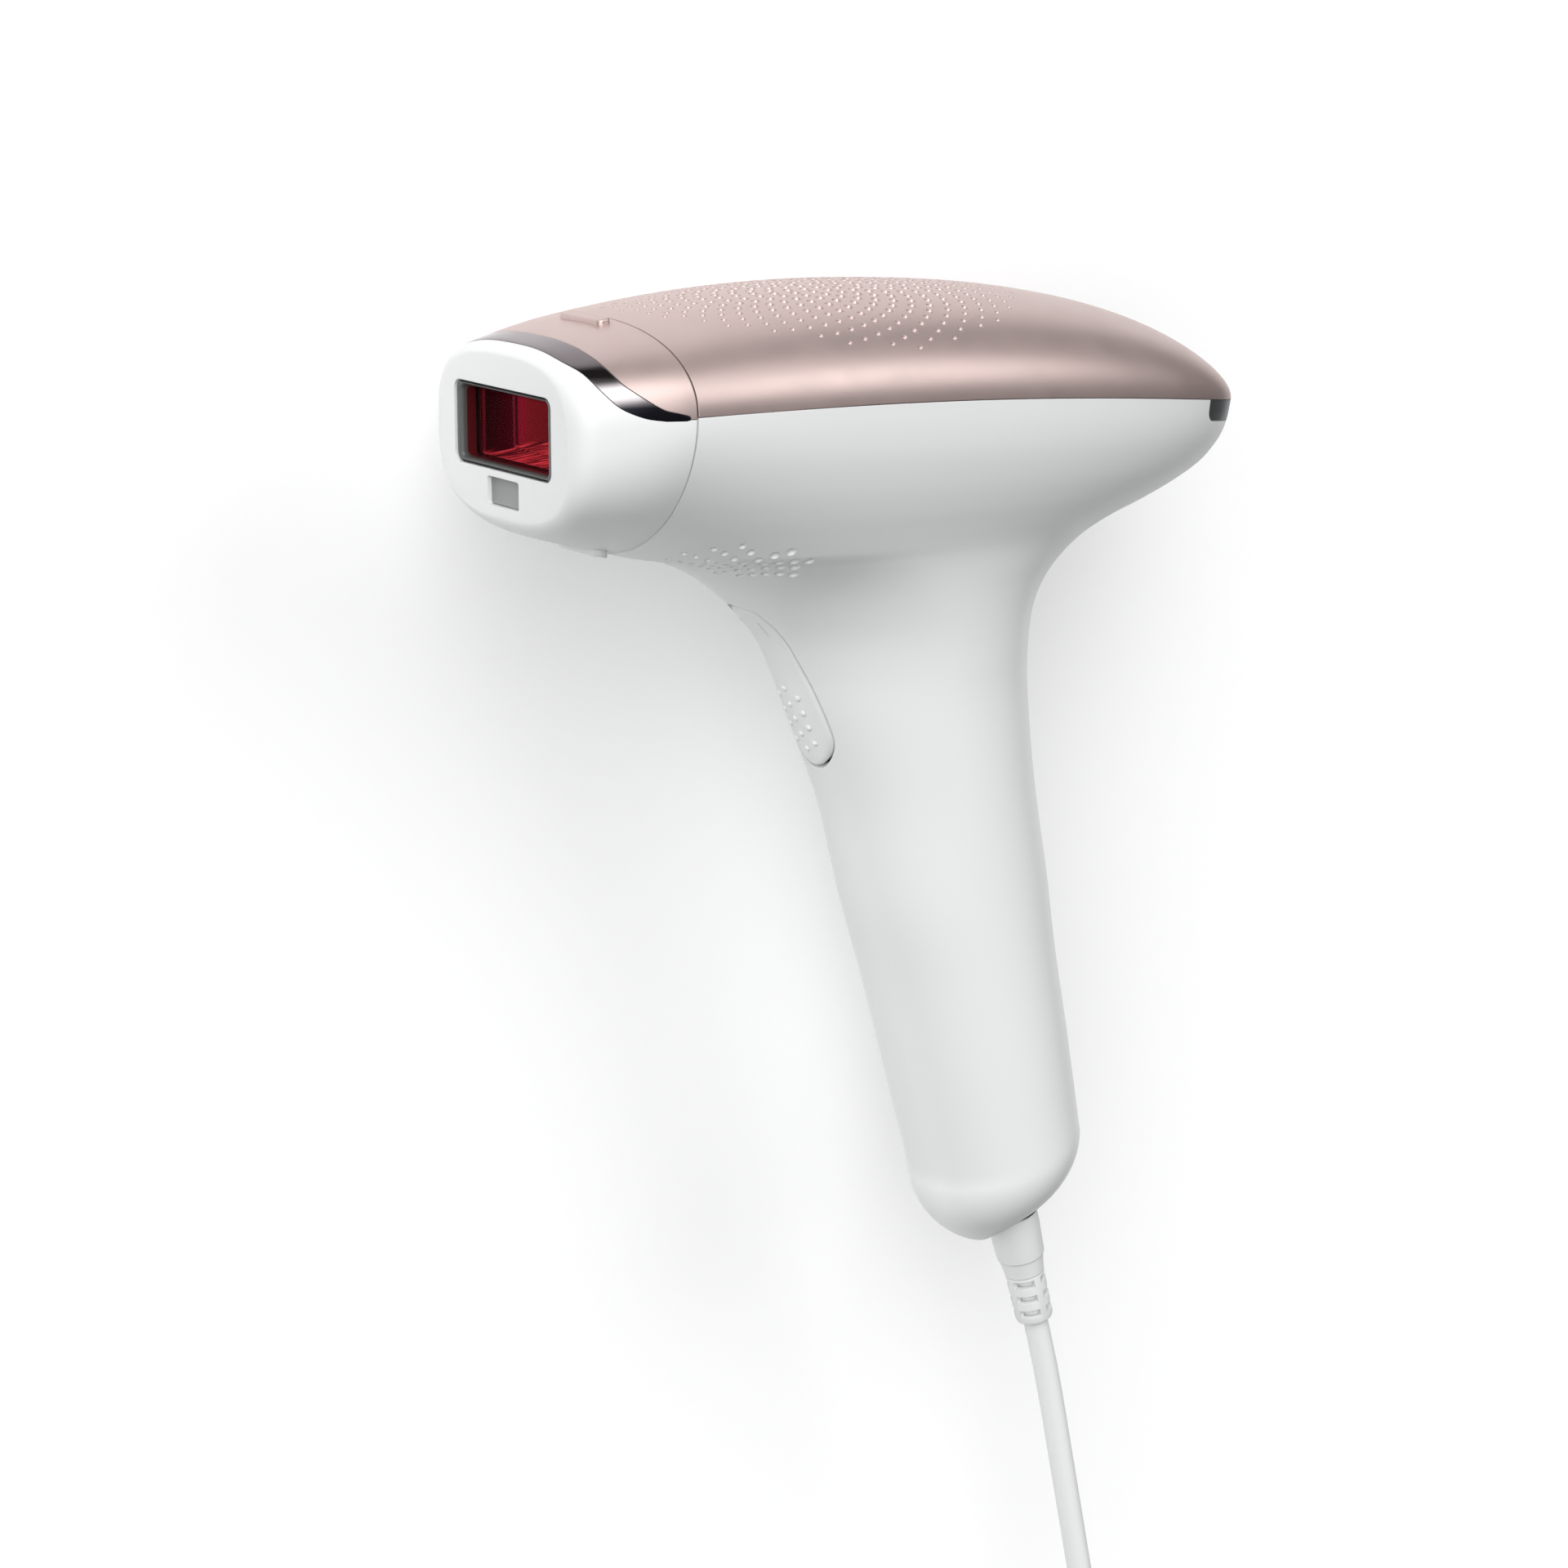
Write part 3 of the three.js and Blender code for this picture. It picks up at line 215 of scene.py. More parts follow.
def head_ring(x, inset, count):
    """Section of the slide-off attachment, from the flat nose at x = 0 to the seam."""
    edge = 1 - np.clip(x / NOSE["edge"], 0, 1)
    flare = (1 - np.clip(x / SEAM_X, 0, 1)) ** NOSE["flare"]
    g = NOSE["share"] * (1 - math.sqrt(1 - edge * edge)) + (1 - NOSE["share"]) * flare

    def blend(seam, nose):
        return seam + (nose - seam) * g

    half = blend(SEAM["half"], NOSE["half"]) - inset
    top = blend(SEAM["top"], NOSE["top"]) - inset
    bottom = blend(SEAM["bottom"], NOSE["bottom"]) + inset
    middle = blend(ROWS[0, 1], (NOSE["top"] + NOSE["bottom"]) / 2)
    angle = 2 * np.pi * np.arange(count) / count
    up = np.sin(angle) >= 0
    n = np.where(up, blend(SEAM["up"], NOSE["power"]), blend(SEAM["down"], NOSE["power"]))

    def spread(v):
        return np.sign(v) * np.abs(v) ** (2 / n)

    y = half * spread(np.cos(angle))
    z = middle + np.where(up, top - middle, middle - bottom) * spread(np.sin(angle))
    return np.stack([np.full(count, x), y, z], 1)


# ---- Meshes ----
def band(first, second, count):
    """Faces between two rings, from the numbers of their first points."""
    i = np.arange(count)
    k = (i + 1) % count
    return np.stack([first + i, first + k, second + k, second + i], 1).tolist()


def loft(rings):
    """Closed skin through rings of equal length, each end closed by a fan."""
    count = len(rings[0])
    points = np.vstack(rings + [rings[0].mean(0)[None], rings[-1].mean(0)[None]])
    faces = []
    for r in range(len(rings) - 1):
        faces += band(r * count, (r + 1) * count, count)
    first, last = len(points) - 2, len(points) - 1
    end = (len(rings) - 1) * count
    faces += [[first, (i + 1) % count, i] for i in range(count)]
    faces += [[last, end + i, end + (i + 1) % count] for i in range(count)]
    return points, faces


def tube(rings):
    """Ring-shaped body: the last ring joins the first."""
    count = len(rings[0])
    faces = []
    for r in range(len(rings)):
        faces += band(r * count, (r + 1) % len(rings) * count, count)
    return np.vstack(rings), faces


def make(name, shape):
    """Object from points and faces, the faces of each closed part turned outwards."""
    points, faces = shape
    mesh = bpy.data.meshes.new(name)
    mesh.from_pydata([tuple(p) for p in points], [], [tuple(f) for f in faces])
    work = bmesh.new()
    work.from_mesh(mesh)
    bmesh.ops.recalc_face_normals(work, faces=work.faces)
    work.to_mesh(mesh)
    work.free()
    piece = bpy.data.objects.new(name, mesh)
    bpy.context.scene.collection.objects.link(piece)
    return piece


def merged(shapes):
    points, faces, base = [], [], 0
    for p, f in shapes:
        points.append(np.asarray(p, float))
        faces += [[base + v for v in face] for face in f]
        base += len(p)
    return np.vstack(points), faces


def carve(piece, steps):
    """Applies boolean steps, (operation, shape), one after the other."""
    helpers = []
    for operation, shape in steps:
        helper = make("helper", shape)
        helpers.append(helper)
        step = piece.modifiers.new(operation, "BOOLEAN")
        step.operation = operation
        step.object = helper
        step.solver = "MANIFOLD"
    graph = bpy.context.evaluated_depsgraph_get()
    result = bpy.data.meshes.new_from_object(piece.evaluated_get(graph))
    piece.modifiers.clear()
    piece.data = result
    for helper in helpers:
        bpy.data.objects.remove(helper)
    return piece


def prism(outline, axis, low, high):
    """Extrudes a 2-D outline along x, y or z. The outline's own axes are the other two, in order."""
    outline = np.asarray(outline, float)
    place = {"x": (1, 2, 0), "y": (0, 2, 1), "z": (0, 1, 2)}[axis]
    points = np.zeros((2 * len(outline), 3))
    for end, level in enumerate((low, high)):
        block = slice(end * len(outline), (end + 1) * len(outline))
        points[block, place[0]] = outline[:, 0]
        points[block, place[1]] = outline[:, 1]
        points[block, place[2]] = level
    n = len(outline)
    faces = [[i, (i + 1) % n, n + (i + 1) % n, n + i] for i in range(n)]
    faces += [list(range(n)), list(range(2 * n - 1, n - 1, -1))]
    return points, faces


def basis(direction):
    """Unit vector along a direction, and two square to it."""
    d = np.asarray(direction, float) / np.linalg.norm(direction)
    u = np.cross(d, [0, 1, 0])
    u /= np.linalg.norm(u)
    return d, u, np.cross(d, u)


def turned(profile, start, direction, sides=48):
    """Rings of a body of revolution, from (radius, distance) pairs."""
    d, u, w = basis(direction)
    angle = 2 * np.pi * np.arange(sides) / sides
    ring = np.outer(np.cos(angle), u) + np.outer(np.sin(angle), w)
    return [np.asarray(start) + d * s + ring * r for r, s in profile]


def rod(start, direction, radius, length, sides=48):
    return loft(turned([(radius, 0), (radius, length)], start, direction, sides))


def ellipsoids(centres, normals, radii, depths, sides=14, levels=4):
    """Flattened balls, one at each centre, with their short axis along the normal."""
    shapes = []
    for centre, normal, radius, depth in zip(centres, normals, radii, depths):
        profile = []
        for k in range(1, 2 * levels):
            angle = math.pi * k / (2 * levels)
            profile.append((radius * math.sin(angle), depth * math.cos(angle)))
        shapes.append(loft(turned(profile, centre, normal, sides)))
    return merged(shapes)


def rounded_rect(half_a, half_b, radius, steps=6, middle=(0.0, 0.0)):
    corners = [(1, -1, -0.5), (1, 1, 0), (-1, 1, 0.5), (-1, -1, 1)]
    points = []
    for a, b, start in corners:
        for k in range(steps + 1):
            angle = math.pi * (start + 0.5 * k / steps)
            points.append([
                middle[0] + a * (half_a - radius) + radius * math.cos(angle),
                middle[1] + b * (half_b - radius) + radius * math.sin(angle),
            ])
    return np.array(points)


def at_x(outline, x):
    return np.column_stack([np.full(len(outline), x), outline])


def catmull_path(points, steps):
    """Smooth open path through 2-D points."""
    p = np.asarray(points, float)
    p = np.vstack([2 * p[0] - p[1], p, 2 * p[-1] - p[-2]])
    path = []
    for i in range(1, len(p) - 2):
        path += [spline(*p[i - 1:i + 3], k / steps) for k in range(steps)]
    return np.array(path + [p[-2]])


# ---- Finishing a piece ----
SHARP_ANGLE, CAD_SHARP_ANGLE = math.radians(32), math.radians(30)


def dress(piece, look, angle):
    """Gives a piece its material and smooth faces up to an angle."""
    piece.data.materials.clear()
    piece.data.materials.append(LOOKS[look])
    for face in piece.data.polygons:
        face.material_index = 0
        face.use_smooth = True
    piece.data.set_sharp_from_angle(angle=angle)


def finish_piece(piece, body, look, node):
    """Moves a piece into the frame, dresses it, ties it to its body and hides the CAD node it stands for."""
    piece.data.transform(Matrix.Scale(0.001, 4) @ Matrix.Translation((-RECESS, 0, 0)))
    dress(piece, look, SHARP_ANGLE)
    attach(piece, body)
    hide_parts(node)


# ---- Materials ----
def new_material(name):
    material = bpy.data.materials.new(name)
    material.use_nodes = True
    nodes = material.node_tree.nodes
    return material, nodes, material.node_tree.links, nodes["Principled BSDF"]


def fill(node, **values):
    """Sets inputs of a shader node; an underscore stands for a space in an input's name."""
    for name, value in values.items():
        node.inputs[name.replace("_", " ")].default_value = value
    return node


def add(nodes, kind, **values):
    return fill(nodes.new("ShaderNode" + kind), **values)


def object_place(nodes):
    return add(nodes, "TexCoord").outputs["Object"]


def noise(nodes, links, scale, detail=3.0):
    texture = add(nodes, "TexNoise", Scale=scale, Detail=detail)
    links.new(object_place(nodes), texture.inputs["Vector"])
    return texture.outputs["Fac"]


def ranged(nodes, links, value, low, high):
    """Stretches a value between 0 and 1 to low and high."""
    span = add(nodes, "MapRange", To_Min=low, To_Max=high)
    links.new(value, span.inputs["Value"])
    return span.outputs["Result"]


def share_between(nodes, links, value, low, high, ease="LINEAR"):
    """How far a value has come from low (0) to high (1)."""
    span = add(nodes, "MapRange", From_Min=low, From_Max=high)
    span.interpolation_type = ease
    links.new(value, span.inputs["Value"])
    return span.outputs["Result"]


def split_axes(nodes, links, vector):
    split = add(nodes, "SeparateXYZ")
    links.new(vector, split.inputs["Vector"])
    return split.outputs


def toned(nodes, links, value, stops):
    """Colour ramp: each stop is a place from 0 to 1 and its colour."""
    node = add(nodes, "ValToRGB")
    bar = node.color_ramp
    while len(bar.elements) < len(stops):
        bar.elements.new(0.5)
    for element, (at, color) in zip(bar.elements, stops):
        element.position = at
        element.color = (*color, 1)
    links.new(value, node.inputs["Fac"])
    return node.outputs["Color"]


def arithmetic(nodes, operation):
    node = add(nodes, "Math")
    node.operation = operation
    return node


def blend_shaders(nodes, links, factor, first, second, output="Material Output"):
    """Shows the first shader where the factor is 0 and the second where it is 1."""
    mixer = add(nodes, "MixShader")
    links.new(factor, mixer.inputs["Fac"])
    links.new(first, mixer.inputs[1])
    links.new(second, mixer.inputs[2])
    links.new(mixer.outputs["Shader"], nodes[output].inputs["Surface"])


def tint(nodes, links, color, share, scale):
    """Base colour that drifts a little over the surface."""
    mixer = add(nodes, "Mix")
    mixer.data_type = "RGBA"
    fill(mixer, A=(*color, 1), B=(*[c * (1 - share) for c in color], 1))
    links.new(noise(nodes, links, scale, 2), mixer.inputs["Factor"])
    return mixer.outputs["Result"]


def surface(name, color, roughness, metallic=0.0, grain=900.0, bump=0.02, edge=0.0003, drift=0.03):
    """Moulded, painted or metal surface: fine bump, uneven roughness, slightly rounded edges."""
    material, nodes, links, shader = new_material(name)
    links.new(tint(nodes, links, color, drift, 45), shader.inputs["Base Color"])
    shader.inputs["Metallic"].default_value = metallic
    uneven = noise(nodes, links, 160, 4)
    links.new(ranged(nodes, links, uneven, roughness * 0.85, roughness * 1.15), shader.inputs["Roughness"])
    relief = add(nodes, "Bump", Strength=bump, Distance=0.0004)
    links.new(noise(nodes, links, grain), relief.inputs["Height"])
    if edge > 0:
        rounding = add(nodes, "Bevel")
        rounding.samples = 4
        rounding.inputs["Radius"].default_value = edge
        links.new(rounding.outputs["Normal"], relief.inputs["Normal"])
    links.new(relief.outputs["Normal"], shader.inputs["Normal"])
    return material


def glass(name, color, share):
    """Tinted see-through pane: clear straight through, glossy at its faces."""
    material, nodes, links, shader = new_material(name)
    through = add(nodes, "BsdfTransparent", Color=(*color, 1))
    shader.inputs["Base Color"].default_value = (*[c * 0.08 for c in color], 1)
    uneven = noise(nodes, links, 220)
    links.new(ranged(nodes, links, uneven, 0.02, 0.05), shader.inputs["Roughness"])
    rim = add(nodes, "Fresnel", IOR=1.2)
    side = add(nodes, "NewGeometry")
    outside = arithmetic(nodes, "SUBTRACT")
    outside.inputs[0].default_value = 1.0
    links.new(side.outputs["Backfacing"], outside.inputs[1])
    amount = arithmetic(nodes, "MULTIPLY_ADD")
    amount.inputs[2].default_value = share
    links.new(rim.outputs["Fac"], amount.inputs[0])
    links.new(outside.outputs["Value"], amount.inputs[1])
    blend_shaders(nodes, links, amount.outputs["Value"], through.outputs["BSDF"], shader.outputs["BSDF"])
    return material


# Painted reflection on the trim: the heights it runs between, and its dark and bright bands painted into the
# plating's colour.
REFLECTION_PAINT_LOW, REFLECTION_PAINT_HIGH = 0.004, 0.018
PAINTED_REFLECTION_TONES = [
    (0.0, (0.025, 0.025, 0.035)), (0.2, (0.03, 0.03, 0.04)), (0.3, (0.35, 0.32, 0.33)),
    (0.42, (0.6, 0.57, 0.58)), (0.53, (0.3, 0.27, 0.28)), (0.59, (0.06, 0.05, 0.055)),
    (0.66, (0.05, 0.045, 0.05)), (0.72, (0.2, 0.175, 0.185)), (1.0, (0.24, 0.21, 0.225)),
]


def plating_with_painted_reflection(name):
    """Bright plating with a painted reflection: its colour runs in dark and bright bands by height, standing
    in for the studio it mirrors.
    """
    material = surface(name, (0.5, 0.46, 0.48), 0.09, 1.0, grain=300, bump=0.01)
    nodes, links = material.node_tree.nodes, material.node_tree.links
    height = split_axes(nodes, links, object_place(nodes))["Z"]
    # The plating's colour is a painted reflection, darker and brighter by height.
    painted_reflection = toned(nodes, links, share_between(nodes, links, height, REFLECTION_PAINT_LOW, REFLECTION_PAINT_HIGH), PAINTED_REFLECTION_TONES)
    links.new(painted_reflection, nodes["Principled BSDF"].inputs["Base Color"])
    return material


WALL_GLOW_FROM, WALL_GLOW_TO = 0.002, 0.0185
# Painted glow of the tunnel's side walls from the filter inwards, and painted reflection streaks on its
# floor and roof: colours fed to emission in place of the light inside.
PAINTED_WALL_GLOW = [
    (0.0, (0.25, 0.055, 0.075)), (0.055, (0.24, 0.05, 0.07)), (0.065, (0.02, 0.004, 0.008)),
    (0.095, (0.02, 0.004, 0.008)), (0.11, (0.10, 0.02, 0.04)), (0.13, (0.08, 0.015, 0.03)),
    (0.14, (0.0, 0.0, 0.0)), (0.3, (0.012, 0.0, 0.004)), (0.48, (0.035, 0.003, 0.012)),
    (0.495, (0.16, 0.05, 0.1)), (0.51, (0.03, 0.012, 0.015)), (0.54, (0.03, 0.012, 0.015)),
    (0.55, (0.17, 0.028, 0.05)), (0.6, (0.2, 0.027, 0.1)), (0.64, (0.18, 0.03, 0.05)),
    (0.7, (0.15, 0.036, 0.042)), (1.0, (0.13, 0.03, 0.036)),
]
PAINTED_STREAK_GLOW = [
    (0.0, (0.01, 0.0, 0.002)), (0.42, (0.02, 0.002, 0.004)), (0.48, (0.22, 0.045, 0.06)),
    (0.53, (0.85, 0.28, 0.32)), (0.57, (0.3, 0.06, 0.08)), (0.64, (0.02, 0.002, 0.004)),
    (1.0, (0.2, 0.03, 0.09)),
]
STREAK_TURN, STREAK_SCALE = math.radians(36), (60, 900, 1)


def painted_reflector_glow():
    """Inside of the light tunnel: dark polished facets with a painted red glow and painted reflection
    streaks, given as emission in place of the light the filter lets in.
    """
    material, nodes, links, shader = new_material("reflector_red")
    # The emission is painted light: the tunnel glows though no lamp is lit inside it.
    fill(shader, Base_Color=(0.02, 0.004, 0.006, 1), Specular_IOR_Level=0.15, Emission_Strength=1.0)
    uneven = noise(nodes, links, 300)
    links.new(ranged(nodes, links, uneven, 0.12, 0.25), shader.inputs["Roughness"])
    depth = split_axes(nodes, links, object_place(nodes))["X"]
    wall_glow = toned(nodes, links, share_between(nodes, links, depth, WALL_GLOW_FROM, WALL_GLOW_TO), PAINTED_WALL_GLOW)
    stretch = add(nodes, "Mapping", Rotation=(0, 0, STREAK_TURN), Scale=STREAK_SCALE)
    links.new(object_place(nodes), stretch.inputs["Vector"])
    painted_streak_mask = add(nodes, "TexNoise", Scale=1.0, Detail=2.0)
    links.new(stretch.outputs["Vector"], painted_streak_mask.inputs["Vector"])
    face = add(nodes, "NewGeometry")
    level = arithmetic(nodes, "ABSOLUTE")
    links.new(split_axes(nodes, links, face.outputs["True Normal"])["Z"], level.inputs[0])
    mixer = add(nodes, "Mix")
    mixer.data_type = "RGBA"
    links.new(level.outputs["Value"], mixer.inputs["Factor"])
    links.new(wall_glow, mixer.inputs["A"])
    links.new(toned(nodes, links, painted_streak_mask.outputs["Fac"], PAINTED_STREAK_GLOW), mixer.inputs["B"])
    # Painted glow on the walls and painted reflection streaks on the floor and roof go into the emission
    # colour.
    links.new(mixer.outputs["Result"], shader.inputs["Emission Color"])
    return material


LOOKS = {
    "white_shell": surface("white_shell", (0.80, 0.81, 0.81), 0.34, grain=3500, bump=0.008, drift=0.01),
    "rose_cover": surface("rose_cover", (0.62, 0.49, 0.465), 0.4, 0.8, grain=2500, bump=0.03, drift=0.04),
    "bright_trim": plating_with_painted_reflection("bright_trim"),
    "dark_panel": surface("dark_panel", (0.055, 0.058, 0.06), 0.34, grain=800, drift=0.1),
    "frame_grey": surface(
        "frame_grey", (0.085, 0.09, 0.088), 0.34, grain=1200, bump=0.03, drift=0.1, edge=0.0002,
    ),
    "red_filter": glass("red_filter", (0.93, 0.42, 0.46), 0.0),
    "sensor_grey": surface("sensor_grey", (0.3, 0.31, 0.31), 0.2, drift=0.12),
    "clear_glass": glass("clear_glass", (0.9, 0.93, 0.94), 0.03),
    "mirror_metal": surface("mirror_metal", (0.82, 0.83, 0.84), 0.06, 1.0, grain=250, bump=0.03, edge=0.0),
    "reflector_red": painted_reflector_glow(),
    "steel": surface("steel", (0.45, 0.46, 0.47), 0.34, 1.0, grain=3000, bump=0.05),
    "contact_brass": surface("contact_brass", (0.75, 0.56, 0.26), 0.23, 1.0, grain=1500, bump=0.03),
    "black_plastic": surface("black_plastic", (0.02, 0.021, 0.022), 0.45, grain=2000, bump=0.12, drift=0.2),
    "circuit_board": surface("circuit_board", (0.02, 0.13, 0.05), 0.4, grain=1500, bump=0.2, drift=0.35),
    "ceramic": surface("ceramic", (0.72, 0.69, 0.62), 0.65, grain=2500, bump=0.15, drift=0.08),
    "copper": surface("copper", (0.6, 0.25, 0.1), 0.35, 1.0, grain=1800, bump=0.3, drift=0.2),
    "capacitor_sleeve": surface(
        "capacitor_sleeve", (0.02, 0.035, 0.11), 0.35, grain=600, bump=0.06, drift=0.1,
    ),
    "cord_white": surface("cord_white", (0.79, 0.80, 0.80), 0.5, grain=1500, bump=0.05, drift=0.02),
}

# ---- Body skins ----
STRIP = {"start": 155.7, "height": 4.5, "corner": 2.2, "gap": 0.06, "rear": 180, "above": 10, "side": 45}
BUTTON_TOP = np.array([53.0, 0, -40.2])
BUTTON_FOOT = np.array([72.1, 0, -76.4])
BUTTON_CAP = {"thick": 2.2, "round": 0.8, "inset": 0.2, "opening": 0.3, "rings": 12}
BUTTON_OUTLINE = [
    (0, 0), (0.7, 2.6), (2.5, 4.5), (6, 5.3), (11, 5.7), (17, 6.0), (25, 6.8), (31, 7.15),
    (35, 6.9), (38, 5.4), (40.3, 2.7), (41, 0),
]
POWER_KEY = {"at": np.array([169.9, 0, -17.3]), "out": np.array([0.786, 0, -0.618]), "radius": 4.1}
CHECK_KEY = {"at": np.array([160.6, 0, -24.1]), "out": np.array([0.45, 0, -0.893]), "radius": 3.0}
KEY_GAP, KEY_FROM, KEY_TO = 0.25, -6, 4
DISH = {"above": 0.5, "rim": 0.7, "depth": 0.9}
PLUG_AT = np.array([126.6, 0, -183.2])
PLUG_OUT = np.array([0.264, 0, -0.9645])
SOCKET = {"deep": 16, "radius": 6.3, "length": 15.0, "lip": 1.5, "mouth": 5.85, "mouth_length": 16}
# Pits of the crest: middle and half sizes of their field, and how their radius falls towards its edge.
PITS = {
    "middle": (72, 0), "half": (46, 32), "count": 470, "radius": 1.05, "edge_radius": 0.48, "fall": 2.5,
    "depth_share": 0.85,
}
SLOPE_STEP = 0.2
# Pits of the belly: their spiral, how their radius grows towards the rear, and the outline they keep to.
BELLY = {
    "middle": 50, "count": 420, "pitch": 1.5, "phase": 0.35, "small": 0.5, "large": 1.15, "front": 26,
    "growth": 31, "below": -38, "depth_share": 0.8,
}
BELLY_FIELD = [
    (26.1, 12), (27.9, 17.6), (34.6, 21.7), (41.7, 23.8), (47.9, 24.4), (52.8, 24.4), (57.1, 23.9),
    (55.6, 20.6), (54.7, 17.8), (50.9, 15), (46.7, 11.2), (41.3, 9.3), (35, 10),
]


def dense(row):
    """Rings per row of the outer skin: more where the belly turns into the neck."""
    return {5: 10, 6: 14, 7: 12, 8: 10}.get(row, 7)


def coarse(_):
    """Rings per row of the hidden inner skin."""
    return 2


DETAIL = 320
lower_shape = loft(lower_rings(DETAIL, dense, 0))
lower_inside = loft(lower_rings(64, coarse, WALL))
lower_tree = BVHTree.FromPolygons([Vector(p) for p in lower_shape[0]], lower_shape[1])


def parting_region(offset, upward):
    """Everything above or below the parting line."""
    x = np.linspace(CUT_FRONT, CUT_REAR, 64)
    line = np.column_stack([x, parting_height(x) + offset])
    level = CUT_SIDE if upward else -CUT_FAR
    return prism(np.vstack([line, [[CUT_REAR, level], [CUT_FRONT, level]]]), "y", -CUT_SIDE, CUT_SIDE)


def behind_seam():
    near, far, side = SEAM_X + SEAM_GAP, CUT_FAR, CUT_SIDE
    return prism([[near, -side], [far, -side], [far, side], [near, side]], "z", -far, side)


def strip_region(grow):
    """Band below the parting line round the tail, its front lower corner rounded."""
    x0 = STRIP["start"] - grow
    drop = STRIP["height"] + grow
    corner = STRIP["corner"]
    top = np.linspace(STRIP["rear"], x0, 16)
    points = [(x, float(parting_height(x)) + STRIP["above"]) for x in top]
    for k in range(9):
        angle = math.pi / 2 * k / 8
        x = x0 + corner * (1 - math.cos(angle))
        points.append((x, float(parting_height(x)) - drop + corner * (1 - math.sin(angle))))
    bottom = np.linspace(x0 + corner + 1, STRIP["rear"], 16)
    points += [(x, float(parting_height(x)) - drop) for x in bottom]
    return prism(points, "y", -STRIP["side"], STRIP["side"])


BUTTON_ALONG = (BUTTON_FOOT - BUTTON_TOP) / np.linalg.norm(BUTTON_FOOT - BUTTON_TOP)
BUTTON_IN = np.array([-BUTTON_ALONG[2], 0, BUTTON_ALONG[0]])


def button_outline(offset):
    """Outline of the flash button in its own plane: along its length, and across."""
    half = BUTTON_OUTLINE[-1][0] / 2
    side = catmull_path(BUTTON_OUTLINE, 6)
    wide = side[:, 1] + np.where(side[:, 1] > 0.01, offset, 0)
    scaled = np.column_stack([half + (side[:, 0] - half) * (1 + offset / half), np.maximum(wide, 0)])
    return np.vstack([scaled, scaled[-2:0:-1] * [1, -1]])


def button_opening():
    """Prism with the flash button's outline, through the front of the neck."""
    points, faces = prism(button_outline(BUTTON_CAP["opening"]), "z", -8, 12)
    local = np.outer(points[:, 0], BUTTON_ALONG) + np.outer(points[:, 1], [0, 1, 0])
    return BUTTON_TOP + local + np.outer(points[:, 2], BUTTON_IN), faces


def on_neck(outline, sunk):
    """Carries a flat outline onto the neck's skin along the button's inward direction, then sinks it."""
    ring = []
    for u, v in outline:
        flat = BUTTON_TOP + BUTTON_ALONG * u + np.array([0, v, 0])
        place, _, _, _ = lower_tree.ray_cast(Vector(flat - BUTTON_IN * 12), Vector(BUTTON_IN))
        ring.append(np.array(place) + BUTTON_IN * sunk)
    return np.array(ring)


def key_rod(key, grow):
    """Rod through the skin where a key sits."""
    start = key["at"] + key["out"] * KEY_FROM
    return rod(start, key["out"], key["radius"] + grow, KEY_TO - KEY_FROM, 64)


def socket_rods():
    """Well the plug sits in: wide inside, with a closer lip at the skin."""
    well = rod(PLUG_AT - PLUG_OUT * SOCKET["deep"], PLUG_OUT, SOCKET["radius"], SOCKET["length"], 64)
    mouth = rod(PLUG_AT - PLUG_OUT * SOCKET["lip"], PLUG_OUT, SOCKET["mouth"], SOCKET["mouth_length"], 64)
    return [well, mouth]


def inside(point, polygon):
    """Even-odd test of a point against a polygon."""
    x, y = point
    hit = False
    for (x0, y0), (x1, y1) in zip(polygon, polygon[1:] + polygon[:1]):
        if (y0 > y) != (y1 > y) and x < x0 + (x1 - x0) * (y - y0) / (y1 - y0):
            hit = not hit
    return hit


def sunflower(count, pitch, phase=0.0):
    """Golden-angle spiral points round the origin."""
    turn = math.pi * (3 - math.sqrt(5))
    for k in range(count):
        r = pitch * math.sqrt(k + 0.5)
        yield r * math.cos(k * turn + phase), r * math.sin(k * turn + phase)


def belly_pits():
    """Spiral rows of pits on the belly, each side of the neck, growing towards the rear."""
    centres, normals, radii = [], [], []
    for across, side in sunflower(BELLY["count"], BELLY["pitch"], BELLY["phase"]):
        x, y = BELLY["middle"] + across, side
        if not inside((x, abs(y)), BELLY_FIELD):
            continue
        place, normal, _, _ = lower_tree.ray_cast(Vector((x, y, BELLY["below"])), Vector((0, 0, 1)))
        if place is None:
            continue
        grow = min(1, max(0, (x - BELLY["front"]) / BELLY["growth"]))
        centres.append(place)
        normals.append(normal)
        radii.append(BELLY["small"] + (BELLY["large"] - BELLY["small"]) * grow)
    return ellipsoids(centres, normals, radii, [r * BELLY["depth_share"] for r in radii])


def crest_pits():
    """Sunflower pattern of pits on the top cover, smaller towards its edge."""
    centres, normals, radii = [], [], []
    for u, v in sunflower(PITS["count"], 1 / math.sqrt(PITS["count"])):
        share = math.hypot(u, v)
        x = PITS["middle"][0] + PITS["half"][0] * u
        y = PITS["half"][1] * v
        rise_x = float(arch_height(x + SLOPE_STEP, y) - arch_height(x - SLOPE_STEP, y))
        rise_y = float(arch_height(x, y + SLOPE_STEP) - arch_height(x, y - SLOPE_STEP))
        centres.append([x, y, float(arch_height(x, y))])
        normals.append([-rise_x / (2 * SLOPE_STEP), -rise_y / (2 * SLOPE_STEP), 1.0])
        fallen = 1 - share ** PITS["fall"]
        radii.append(PITS["edge_radius"] + (PITS["radius"] - PITS["edge_radius"]) * fallen)
    return ellipsoids(centres, normals, radii, [r * PITS["depth_share"] for r in radii])


